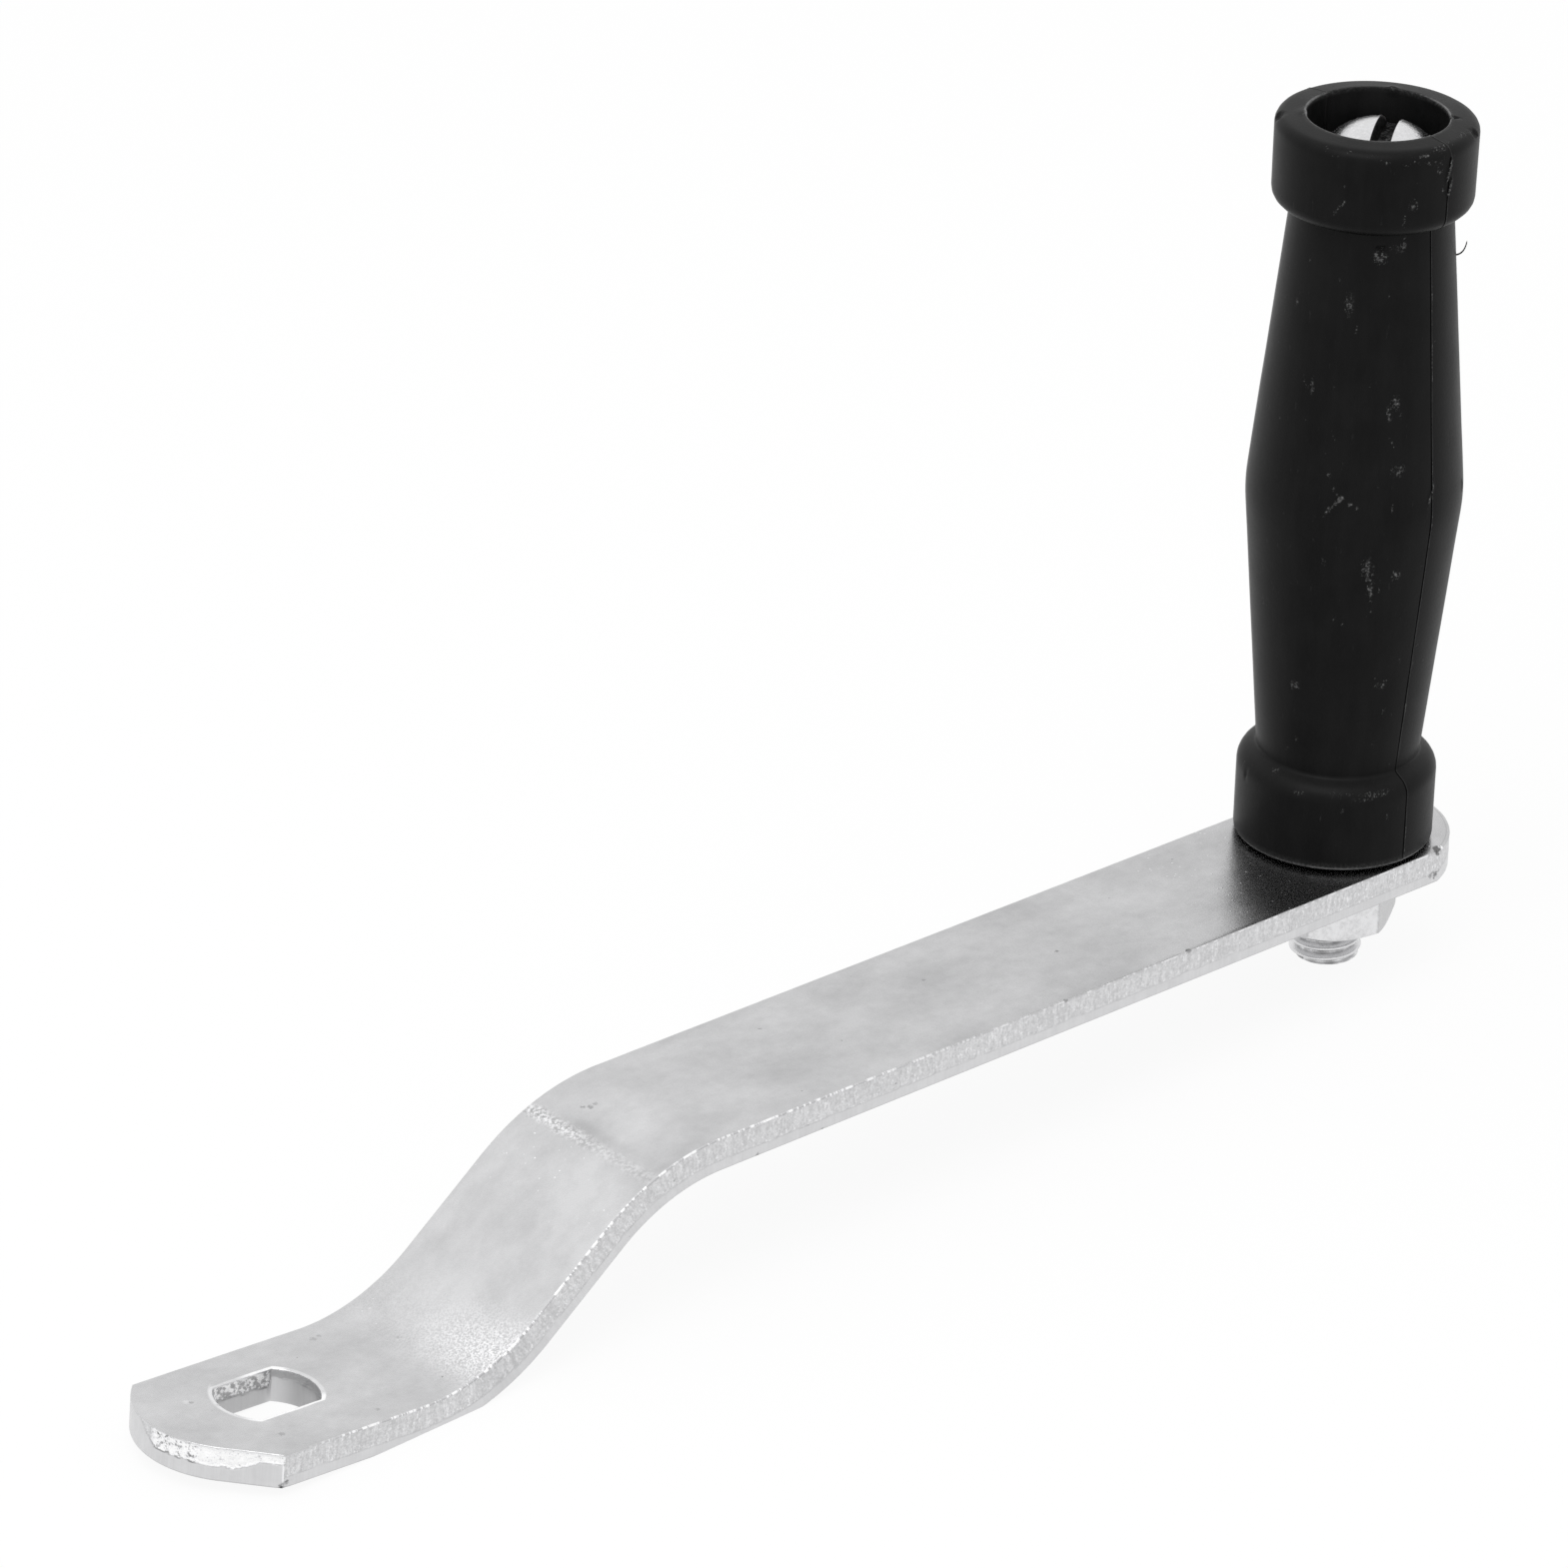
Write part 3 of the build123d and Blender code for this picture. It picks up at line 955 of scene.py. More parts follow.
@dataclass
class Arm:
    """Joggled flat-bar arm with blanked walls, arc ends, drive hole and tapped hole."""

    hub_radius: float = 13.5
    hub_setback: float = 3.4
    hub_shift: float = 1.3
    hub_corner: float = 8.1  # near corner, beyond the drive hole
    grip_radius: float = 14.5
    grip_setback: float = 2.4
    flats: float = 9.8
    tapped_radius: float = 4.9
    side_tear: float = 0.66  # torn share of the long sides' depth
    near_force: float = 0.5
    far_force: float = 0.3
    tear_step: float = 0.16  # torn metal lies this far behind the burnished
    tear_relief: float = 0.17
    ledge_rise: float = 0.06  # over the ledge, where tearing fades out
    ledge_fall: float = 0.12
    wave: float = 0.012  # height of the upper face's slow waves
    wave_length: float = 6.0
    quarter_rows: int = 5
    wall_levels: int = 20
    ring_growth: float = 1.4  # rings lie closer together at the hole
    mouth_wear: float = 0.32  # width of the ring round a hole that carries the painted highlight on its burred edge
    side_step: float = 0.38
    end_step: float = 0.18
    middle_step: float = 0.48
    across_rows: int = 34
    ring_rows: int = 20

    def __post_init__(self) -> None:
        """Takes the arm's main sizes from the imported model."""
        low, high = node_box("arm")
        nut_top = node_box("lock_nut")[1][2]
        self.near, self.far = low[1], high[1]
        self.thickness = high[2] - nut_top
        self.joggle = Joggle(self.thickness, high[2], middle_of("grip_screw"))
        self.hole_radius = frame["record"]["mounts"][0]["dims"]["r_mm"]
        self.middle_start = 24.0
        self.middle_end = self.joggle.grip_run - 20.0

    def stretch(self, points: np.ndarray, stations: list[tuple[float, float, float]]) -> np.ndarray:
        """Puts a wall's character on a stretch of the outline.

        Args:
            points: The stretch's points.
            stations: Share of its length, torn share and force there.

        Returns:
            Rows of run, across, torn share and force.
        """
        length = np.concatenate([[0], np.cumsum(np.linalg.norm(np.diff(points, axis=0), axis=1))])
        share, tear, force = np.array(stations).T
        along = length / length[-1]
        return np.column_stack([points, np.interp(along, share, tear), np.interp(along, share, force)])

    def side(self, start: float, end: float, across: float, step: float) -> np.ndarray:
        """Samples a stretch of a long side.

        Args:
            start: Where it starts along the run.
            end: Where it ends; this end is left out.
            across: The side's place across the bar.
            step: Longest distance between samples.

        Returns:
            Rows of run, across, torn share and force.
        """
        points = straight(np.array([start, across]), np.array([end, across]), step)
        force = self.near_force if across < 0 else self.far_force
        return self.stretch(points, [(0, self.side_tear, force), (1, self.side_tear, force)])

    def hub_end(self) -> np.ndarray:
        """Samples the hub pad's outline from the near side round the end to the far side.

        Returns:
            Rows of run, across, torn share and force.
        """
        centre = np.array([-self.hub_setback, self.hub_shift])
        corner = np.array([-self.hub_corner, self.near])
        away = corner - centre
        start = np.arctan2(away[1], away[0]) - np.arccos(self.hub_radius / np.hypot(*away))
        start %= TURN
        finish = np.pi - np.arcsin((self.far - self.hub_shift) / self.hub_radius)
        count = int(self.hub_radius * (start - finish) / self.end_step)
        angle = np.linspace(start, finish, count)
        arc = centre + self.hub_radius * vectors(np.cos(angle), np.sin(angle))
        end = np.concatenate([straight(corner, arc[0], self.end_step), arc[:-1]])
        stations = [
            (0.0, 0.26, 1.1), (0.1, 0.32, 1.12), (0.21, 0.56, 1.12), (0.36, 0.54, 1.12), (0.41, 0.52, 0.9),
            (0.6, 0.58, 0.85), (0.67, 0.3, 0.4), (0.72, 0.06, 0.15), (1.0, 0.06, 0.15),
        ]
        near = self.side(self.middle_start, corner[0], self.near, self.side_step)
        far = self.side(arc[-1][0], self.middle_start, self.far, self.side_step)
        return np.concatenate([near, self.stretch(end, stations), far])

    def grip_end(self) -> np.ndarray:
        """Samples the grip end's outline from the far side round the end to the near side.

        Returns:
            Rows of run, across, torn share and force.
        """
        middle = self.joggle.grip_run + self.grip_setback
        start, finish = (np.arcsin(across / self.grip_radius) for across in (self.far, self.near))
        count = int(self.grip_radius * (start - finish) / self.side_step)
        angle = np.linspace(start, finish, count)
        arc = vectors(middle + self.grip_radius * np.cos(angle), self.grip_radius * np.sin(angle))
        far = self.side(self.middle_end, arc[0][0], self.far, self.side_step)
        near = self.side(arc[-1][0], self.middle_end, self.near, self.side_step)
        end = self.stretch(arc[:-1], [(0.0, 0.3, 0.2), (0.7, 0.3, 0.2), (1.0, 0.6, 0.4)])
        return np.concatenate([far, end, near])

    def hole(self, rim: np.ndarray, centre: np.ndarray, double_d: bool, seed: int) -> Loop:
        """Puts a hole's loop opposite a ring's rim, point for point.

        The drive hole's radius is the circle's, or half the flats over the angle's sine.

        Args:
            rim: The ring's outer points.
            centre: The hole's centre.
            double_d: Whether it is the drive hole, or else the tapped one.
            seed: Noise seed.

        Returns:
            The loop.
        """
        away = rim - centre
        angle = np.arctan2(away[:, 1], away[:, 0])
        radius = np.full_like(angle, self.tapped_radius)
        tear, force = np.full((2, len(angle)), 0.2)
        if double_d:
            corner = np.arcsin(self.flats / 2 / self.hole_radius)
            for exact in (corner, np.pi - corner, -corner, corner - np.pi):
                angle[np.argmin(np.abs(angle - exact))] = exact
            to_flat = self.flats / 2 / np.maximum(np.abs(np.sin(angle)), 0.01)
            radius = np.minimum(self.hole_radius, to_flat)
            on_flat = ease(self.hole_radius - to_flat, 0.0, 0.4)
            tear, force = 0.25 + 0.2 * on_flat, 0.4 + 0.5 * on_flat
        direction = vectors(np.cos(angle), np.sin(angle))
        return Loop(centre + direction * radius[:, None], tear, force, -1, seed, 0.12, 0.2)

    def wall_rows(self, loop: Loop) -> tuple[np.ndarray, np.ndarray]:
        """Gives the wall's section: a quarter round at its top and at its foot.

        Args:
            loop: The wall's line.

        Returns:
            Depths, one a row, and insets, rows by points.
        """
        turn = np.linspace(0, np.pi / 2, self.quarter_rows)
        high, low = loop.top_inset, loop.foot_inset
        middle = np.linspace(high, self.thickness - low, self.wall_levels)[1:-1]
        depth = np.concatenate([high * (1 - np.cos(turn)), middle, self.thickness - low * (1 - np.sin(turn))])
        top = (1 - np.sin(turn))[:, None] * loop.top
        foot = (1 - np.cos(turn))[:, None] * loop.foot
        return depth, np.concatenate([top, np.zeros((len(middle), len(loop.top))), foot])

    def wall(self, press: Press, loop: Loop) -> None:
        """Adds the wall that blanking leaves down a loop.

        The torn part reaches from the top to a ragged ledge. It lies behind the burnished part by
        a step and carries noise in the run and depth; the burnished part has faint drag lines.

        Args:
            press: Takes the grid.
            loop: The wall's line.
        """
        depth, inset = self.wall_rows(loop)
        run, level = np.meshgrid(loop.run, depth)
        line, place, seed = vectors(run, 0.0), vectors(run, level), loop.seed
        ragged = 0.28 * rough_noise(line / 2.3, seed) + 0.2 * rough_noise(line / 0.7, seed + 5)
        ledge = loop.tear * self.thickness + ragged * np.minimum(loop.force, 1)
        torn = 1 - ease(level, ledge - self.ledge_rise, ledge + self.ledge_fall)
        lumps = 0.55 * rough_noise(place / 0.85, seed + 11)
        lumps += 0.45 * rough_noise(place * (2.2, 0.7), seed + 17)
        push = torn * loop.force * (self.tear_relief * lumps - self.tear_step)
        push += (1 - torn) * 0.02 * smooth_noise(line / 0.45, seed + 23)
        held = between(level, (0.02, 0.5, self.thickness - 0.4, self.thickness))
        flat = loop.points + loop.outward * (push * held - inset)[..., None]
        for nick in NICKS:
            bite = nick.bell(flat, level) * (inset < inset.max(axis=0))
            flat = flat - loop.outward * bite[..., None]
        is_wall = between(level, (0.1, 0.26, self.thickness - 0.2, self.thickness))
        self.lay(press, flat, level, vectors(loop.force, torn, is_wall), closed=True)

    def lay(self, press: Press, flat: np.ndarray, depth: np.ndarray, wall: np.ndarray, closed: bool) -> None:
        """Adds a grid of the blank's surface, pressed to shape.

        Slow waves and the nodules act on the upper face and fade towards the lower one.

        Args:
            press: Takes the grid.
            flat: Rows by columns of places in the blank's plane.
            depth: Their depths.
            wall: The vectors of the wall's character.
            closed: Whether the columns close on themselves.
        """
        rise = self.wave * rough_noise(flat / self.wave_length, 71, 2)
        rise += np.sum([nodule.bell(flat, 0.0) for nodule in NODULES], axis=0)
        level = depth + rise * (1 - depth / self.thickness)
        blank = np.concatenate([flat, level[..., None]], axis=-1)
        press.grid(self.joggle.bend(flat, level), closed=closed, blank=blank, wall=wall)

    def face(self, press: Press, flat: np.ndarray, face: Face, closed: bool, rim: np.ndarray) -> None:
        """Adds a stretch of a face.

        Args:
            press: Takes the grid.
            flat: Rows by columns of places in the blank's plane.
            face: Which face.
            closed: Whether the columns close on themselves.
            rim: Closeness to a hole's edge, from 0 to 1.
        """
        depth = np.full(flat.shape[:2], self.thickness if face is Face.LOWER else 0.0)
        self.lay(press, flat, depth, vectors(0 * depth, rim, 0.0), closed)

    def end_faces(
        self, press: Press, outline: Loop, picked: np.ndarray, lines: dict[Face, np.ndarray], hole: Loop
    ) -> None:
        """Adds both faces round a hole; their points divide the way to the rim evenly.

        Args:
            press: Takes the grids.
            outline: The arm's outline.
            picked: The outline's points round this end.
            lines: For each face, the points that close the rim across the bar.
            hole: The hole's loop.
        """
        share = (np.linspace(0, 1, self.ring_rows) ** self.ring_growth)[:, None, None]
        for face, line in lines.items():
            rim = np.concatenate([outline.edge(face)[picked], line])
            mouth = hole.edge(face)
            flat = mouth + (rim - mouth) * share
            away = np.linalg.norm(flat - mouth, axis=-1)
            self.face(press, flat, face, True, spot(away, self.mouth_wear))
        self.wall(press, hole)

    def build(self) -> bpy.types.Object:
        """Builds the arm.

        Returns:
            The arm's object.
        """
        press = Press()
        hub, grip = self.hub_end(), self.grip_end()
        far = self.side(self.middle_start, self.middle_end, self.far, self.middle_step)
        near = self.side(self.middle_end, self.middle_start, self.near, self.middle_step)
        points = np.concatenate([hub, far, grip, near])
        outline = Loop(points[:, :2], points[:, 2], points[:, 3], 1, 3)
        outline.top *= 1 + 1.7 * ease(points[:, 0], self.joggle.grip_run + 7.5, self.joggle.grip_run + 9)
        self.wall(press, outline)
        index = np.arange(len(points) + 1) % len(points)
        first, second, third = np.cumsum([len(hub), len(far), len(grip)])
        share = np.linspace(0, 1, self.across_rows)[:, None, None]
        hub_lines, grip_lines = {}, {}
        for face in Face:
            edge = outline.edge(face)
            low, high = edge[index[third:]][::-1], edge[index[first : second + 1]]
            flat = low + (high - low) * share
            self.face(press, flat, face, False, np.zeros(1))
            hub_lines[face], grip_lines[face] = flat[-2:0:-1, 0], flat[1:-1, -1]
        for picked, lines, middle, double_d in (
            (index[: first + 1], hub_lines, 0.0, True),
            (index[second : third + 1], grip_lines, self.joggle.grip_run, False),
        ):
            rim = np.concatenate([outline.points[picked], lines[Face.UPPER]])
            hole = self.hole(rim, np.array([middle, 0.0]), double_d, 41)
            self.end_faces(press, outline, picked, lines, hole)
        return press.strike("arm_plated_bar", 38)

    def dress(self, piece: bpy.types.Object) -> None:
        """Finishes the arm."""
        dress(piece, [PlatedBar().material()], Body.CRANK, "arm")


# ---------------------------------------------------------------------------------------------
# Screw and nut


@dataclass
class AxleScrew:
    """Slotted round-head screw: domed head, plain shank, threaded end."""

    head_height: float = 6.8
    crown_radius: float = 9.6
    slot_width: float = 2.75
    slot_depth: float = 3.0
    proud: float = 0.45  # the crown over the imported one
    slot_angle: float = np.radians(33)
    slot_offset: float = 0.68  # from the head's middle
    head_offset: tuple[float, float] = (0.48, -0.43)  # the head sits a little off its shank
    wall_drop: tuple[float, ...] = (0.0, 0.06, 0.3, 0.65)
    pitch: float = 1.5
    thread_height: float = 0.9
    tip_length: float = 1.3
    radius: float = 5.0
    thread_start: float = 1.5  # over the nut's foot
    thread_step: float = 0.075  # between rows down the thread
    seat_bevel: float = 0.3
    wall_lean: float = 0.03  # between the slot's columns

    def __post_init__(self) -> None:
        """Takes the screw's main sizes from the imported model."""
        low, high = node_box("grip_screw")
        self.axis = middle_of("grip_screw")
        self.head_radius = (high[0] - low[0]) / 2
        self.end, self.top = low[2], high[2] + self.proud
        self.nut_bottom = node_box("lock_nut")[0][2]

    def columns(self) -> tuple[np.ndarray, np.ndarray]:
        """Gives the head's columns across the slot, close together down the slot's walls.

        Returns:
            Places across the slot, and each one's share of the slot's depth.
        """
        low = self.slot_offset - self.slot_width / 2
        high = low + self.slot_width
        spread = -self.head_radius * np.cos(np.linspace(0, np.pi, 90))
        drop = np.array(self.wall_drop)
        lean = self.wall_lean * np.arange(len(drop))
        floor = np.linspace(low + 0.12, high - 0.12, 14)
        sides = spread[spread < low - 0.05], spread[spread > high + 0.05]
        across = np.concatenate([sides[0], low + lean, floor, (high - lean)[::-1], sides[1]])
        share = [np.zeros_like(sides[0]), drop, np.ones_like(floor), drop[::-1], np.zeros_like(sides[1])]
        return across, np.concatenate(share)

    def head(self, press: Press) -> np.ndarray:
        """Adds the dome, which sinks to the slot's floor by each column's share.

        Args:
            press: Takes the grid.

        Returns:
            The rim's angles, in order round the head.
        """
        across, share = self.columns()
        rows = np.sin(np.linspace(-np.pi / 2, np.pi / 2, 70))
        along = rows[:, None] * np.sqrt(np.maximum(self.head_radius**2 - across**2, 0))
        across_grid = np.broadcast_to(across, along.shape)
        radius = np.hypot(across_grid, along)
        dome = self.top - self.crown_radius + np.sqrt(self.crown_radius**2 - radius**2)
        inner = ease(self.head_radius - radius, 0.0, 0.4)
        gouge = 0.22 * rough_noise(vectors(across_grid * 1.6, along * 0.9), 9)
        floor = np.minimum(dome, self.top - self.slot_depth + gouge * inner)
        height = dome - share * (dome - floor)
        # Painted shade in the slot.
        shade = ease(dome - height, 0.02, 0.2)
        cos, sin = np.cos(self.slot_angle), np.sin(self.slot_angle)
        x = along * cos + across_grid * sin
        y = along * sin - across_grid * cos
        self.add(press, vectors(x + self.head_offset[0] + self.axis, y + self.head_offset[1], height), shade)
        ends = np.concatenate([np.arctan2(y[-1], x[-1]), np.arctan2(y[0], x[0])])
        return np.unique(np.round(ends, 7))

    def add(self, press: Press, points: np.ndarray, shade: float | np.ndarray, closed: bool = False) -> None:
        """Adds a grid of the screw's surface.

        Args:
            press: Takes the grid.
            points: Rows by columns of points.
            shade: Painted shade in the slot and the thread's grooves, from 0 to 1.
            closed: Whether the columns close on themselves.
        """
        press.grid(points, closed=closed, wall=vectors(0 * points[..., 0], shade, 0.0))

    def build(self) -> bpy.types.Object:
        """Builds the screw.

        The thread is a wave in the phase height / pitch - angle / turn with flattened crests. It
        starts under the nut's face and is cut off by a quarter round at the screw's end.

        Returns:
            The screw's object.
        """
        press = Press()
        angle = self.head(press)
        cos, sin = np.cos(angle), np.sin(angle)
        rim = self.top - self.crown_radius + np.sqrt(self.crown_radius**2 - self.head_radius**2)
        seat = self.top - self.proud - self.head_height
        start = self.nut_bottom + self.thread_start
        wide, slim, bevel = self.head_radius, self.radius, self.seat_bevel
        radii = np.array([wide, wide, wide - bevel, slim, slim])[:, None]
        levels = np.array([rim, seat + bevel, seat, seat, start])[:, None]
        shift = np.array([1.0, 1.0, 1.0, 0.0, 0.0])[:, None]
        x, y = (radii * part + shift * off for part, off in zip((cos, sin), self.head_offset))
        self.add(press, vectors(x + self.axis, y, levels), 0.0, closed=True)
        height = np.arange(start, self.end, -self.thread_step)[:, None]
        phase = (height / self.pitch - angle / TURN) % 1.0
        groove = ease(np.abs(2 * phase - 1), 0.08, 0.92)
        lead = ease(start - height, 0, 0.4)
        left = height - self.end
        drop = np.maximum(self.tip_length - left, 0)
        point = slim - self.tip_length + np.sqrt(self.tip_length**2 - drop**2)
        radius = np.minimum(slim - (0.03 + self.thread_height * groove) * lead, point)
        # Painted shade in the thread's grooves, patchy along the thread.
        shade = 0.26 * ease(groove, 0.45, 0.95) * lead * (radius < point)
        spread = vectors(angle * 3.2, height * 1.6 + angle * 0.8)
        shade = np.clip(shade * (1.1 + 1.9 * rough_noise(spread, 57)), 0, 0.7)
        self.add(press, turned(self.axis, radius, angle, height), shade, closed=True)
        share = np.linspace(1, 0, 10)[:, None]
        tip = radius[-1] * share
        level = height[-1] - (height[-1] - self.end) * (1 - share**4)
        self.add(press, turned(self.axis, tip, angle, level), 0.0, closed=True)
        return press.strike("grip_screw_slotted", 40)

    def dress(self, piece: bpy.types.Object) -> None:
        """Finishes the screw."""
        finish = PlatedFastener("bright zinc on screw", 0.77, 0.24, 0.5, 0.7)
        dress(piece, [finish.material()], Body.CRANK, "grip_screw")


@dataclass
class LockNut:
    """Hexagon nut with 30 degree chamfers at both faces."""

    across_flats: float = 17.0
    corner_angle: float = np.radians(-29)
    chamfer: float = np.radians(30)
    bore: float = 4.9
    mouth: float = 0.7
    disc_share: float = 0.965  # of half the flats
    flat_columns: int = 28
    wall_levels: int = 12
    edge: float = 0.5  # height that each face's rim keeps clear of unevenness
    painted_flat_shade: tuple[float, ...] = (0.3, 0.1, 0.25, 0.15, -0.35, 0.55)  # painted light and shade on each flat: darker where positive, lighter where negative

    def __post_init__(self) -> None:
        """Takes the nut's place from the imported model."""
        low, high = node_box("lock_nut")
        self.axis = middle_of("grip_screw")
        self.bottom, self.top = low[2], high[2]

    def build(self) -> bpy.types.Object:
        """Builds the nut.

        Its wall's radius is half the flats over the cosine of the angle from the nearest flat's
        middle. Each face is a disc, and a cone rises from the disc's edge to the wall.

        Returns:
            The nut's object.
        """
        angle = self.corner_angle + np.linspace(0, TURN, 6 * self.flat_columns, endpoint=False)
        sixth = TURN / 6
        half = self.across_flats / 2
        wall = half / np.cos((angle - self.corner_angle) % sixth - sixth / 2)
        disc = half * self.disc_share
        climb = (wall - disc) * np.tan(self.chamfer)
        tall = self.top - self.bottom - 2 * climb
        rows = [
            (self.bore, self.bottom + self.mouth),
            (self.bore + self.mouth, self.bottom),
            (disc * 0.75, self.bottom),
            (disc, self.bottom),
            ((disc + wall) / 2, self.bottom + climb / 2),
            *((wall, self.bottom + climb + tall * share) for share in np.linspace(0, 1, self.wall_levels)),
            ((disc + wall) / 2, self.top - climb / 2),
            (disc, self.top),
            (self.bore + self.mouth, self.top),
            (self.bore, self.top - self.mouth),
            (self.bore, self.bottom + self.mouth),
        ]
        radius, height = (np.array([row[i] + 0 * angle for row in rows]) for i in (0, 1))
        place = turned(0.0, radius, angle, height)
        forged = 0.035 * rough_noise(place / 2.2, 61) * ease(radius, self.bore + 1.0, half)
        inside = between(height, (self.bottom, self.bottom + self.edge, self.top - self.edge, self.top))
        points = turned(self.axis, radius + forged * inside, angle, height)
        facet = ((angle - self.corner_angle) // sixth).astype(int) % 6
        press = Press()
        press.grid(points, closed=True, wall=vectors(np.array(self.painted_flat_shade)[facet] * inside, 0.0, 0.0))
        return press.strike("lock_nut_hexagon", 25)

    def dress(self, piece: bpy.types.Object) -> None:
        """Finishes the nut."""
        finish = PlatedFastener("bright zinc on nut", 0.7, 0.3, 0.7, 2.0)
        dress(piece, [finish.material()], Body.CRANK, "lock_nut")


# ---------------------------------------------------------------------------------------------
# Grip


class Mark(Enum):
    """What a mark on the grip does to its skin."""

    SCUFF = 1
    DENT = 2
    LUMP = 3


MARK_REACH = 3.0  # how far in or out of its radius a mark on the body still shows, mm
RIM_FROM = 100  # height from which a mark shows only at its own radius, mm


@dataclass(frozen=True)
class Blemish:
    """One mark: its kind, place round and up the grip, half sizes and depth."""

    kind: Mark
    angle: float  # degrees from +X
    height: float  # above the grip's base, mm
    width: float
    tall: float
    depth: float
    radius: float = 13.5

    def bell(self, arc: np.ndarray, height: np.ndarray, radius: np.ndarray) -> np.ndarray:
        """Works out a bell of the distance from the mark, in its own half sizes.

        Args:
            arc: Distance round the grip from the mark.
            height: Height above the base.
            radius: Radius of the plain surface.

        Returns:
            Values from 0 to 1.
        """
        out = radius - self.radius
        if self.height < RIM_FROM:
            out = np.maximum(np.abs(out) - MARK_REACH, 0)
        reach = (arc / self.width) ** 2 + ((height - self.height) / self.tall) ** 2
        return np.exp(-reach - (out / max(self.tall, 0.5)) ** 2)


SCUFF, DENT, LUMP = Mark
BLEMISHES = tuple(Blemish(*row) for row in (
    (SCUFF, -126.5, 45.7, 1.1, 1.9, 0.05), (SCUFF, -124.0, 42.4, 0.6, 1.6, 0.04),
    (SCUFF, -110.0, 44.2, 0.9, 1.0, 0.04), (SCUFF, -128.0, 51.9, 0.25, 0.25, 0.03),
    (SCUFF, -125.0, 38.6, 0.25, 0.3, 0.03), (SCUFF, -112.5, 59.7, 1.2, 1.1, 0.03),
    (SCUFF, -167.0, 26.3, 0.9, 0.9, 0.04), (SCUFF, -111.0, 27.5, 1.1, 0.8, 0.03),
    (SCUFF, -88.5, 29.6, 0.4, 0.5, 0.1), (LUMP, -131.0, 89.6, 1.0, 0.7, 0.3),
    (DENT, -128.5, 90.6, 0.9, 0.45, 0.35), (SCUFF, -128.0, 89.0, 1.2, 0.7, 0.12),
    (SCUFF, -117.0, 90.5, 1.2, 0.6, 0.1), (SCUFF, -118.0, 95.4, 0.3, 1.0, 0.08),
    (SCUFF, -122.0, 84.2, 0.35, 0.5, 0.05), (SCUFF, -147.0, 82.8, 0.8, 2.0, 0.03),
    (SCUFF, -186.0, 80.9, 0.5, 0.7, 0.04), (SCUFF, -115.5, 69.2, 0.8, 1.4, 0.03),
    (SCUFF, -166.0, 70.6, 0.5, 1.4, 0.03), (SCUFF, -112.0, 104.3, 2.0, 0.3, 0.05, 12.9),
    (SCUFF, -118.0, 103.2, 1.6, 0.25, 0.04, 13.5), (SCUFF, -97.0, 104.4, 1.2, 0.7, 0.09, 12.7),
    (SCUFF, -88.0, 104.6, 1.3, 0.6, 0.1, 12.5), (SCUFF, -152.0, 104.3, 0.8, 0.4, 0.06, 12.8),
    (SCUFF, -140.0, 104.2, 2.2, 0.5, 0.01, 13.0), (SCUFF, -130.0, 103.6, 1.6, 0.5, 0.01, 13.3),
    (SCUFF, -160.0, 103.8, 1.8, 0.5, 0.01, 13.2), (SCUFF, -104.5, 103.2, 2.2, 0.5, 0.01, 13.5),
    (SCUFF, -97.5, 102.0, 0.9, 0.9, 0.02), (SCUFF, -95.0, 99.2, 0.6, 0.9, 0.01),
    (SCUFF, -110.0, 100.4, 0.7, 0.5, 0.01), (SCUFF, -70.0, 104.6, 1.8, 0.7, 0.03, 12.2),
    (SCUFF, -135.0, 11.6, 2.4, 0.35, 0.01, 13.2), (SCUFF, -110.0, 11.4, 2.8, 0.4, 0.03, 13.2),
    (SCUFF, -166.0, 104.4, 0.5, 0.4, 0.06, 12.8), (SCUFF, -152.0, 100.0, 0.3, 0.2, 0.05),
    (SCUFF, -166.0, 96.2, 0.25, 0.3, 0.05), (SCUFF, -113.0, 97.5, 0.7, 1.2, 0.03),
    (SCUFF, -179.0, 12.4, 0.7, 0.4, 0.07, 12.3), (SCUFF, -157.0, 11.2, 1.2, 0.4, 0.06, 13.2),
    (SCUFF, -122.0, 10.8, 2.6, 0.25, 0.03, 13.6), (SCUFF, -165.0, 18.1, 0.5, 0.5, 0.05),
    (DENT, -44.5, 105.0, 0.6, 0.5, 0.45, 9.8), (LUMP, -222.0, 105.0, 1.0, 0.5, 0.2, 9.7),
    (DENT, -221.5, 104.5, 1.1, 0.6, 0.4, 13.1), (LUMP, 33.0, 105.1, 0.7, 0.5, 0.3, 9.7),
    (DENT, -60.0, 104.5, 0.8, 0.6, 0.3, 13.2), (LUMP, -55.0, 53.5, 0.35, 0.6, 0.2, 14.5),
    (DENT, -200.0, 10.4, 0.45, 0.5, 0.15, 13.6), (DENT, -125.5, 1.2, 0.35, 0.35, 0.12),
    (SCUFF, 62.0, 60.0, 1.2, 3.0, 0.04), (SCUFF, 20.0, 96.0, 1.4, 1.0, 0.06),
    (SCUFF, 118.0, 30.0, 0.8, 2.2, 0.05),
))


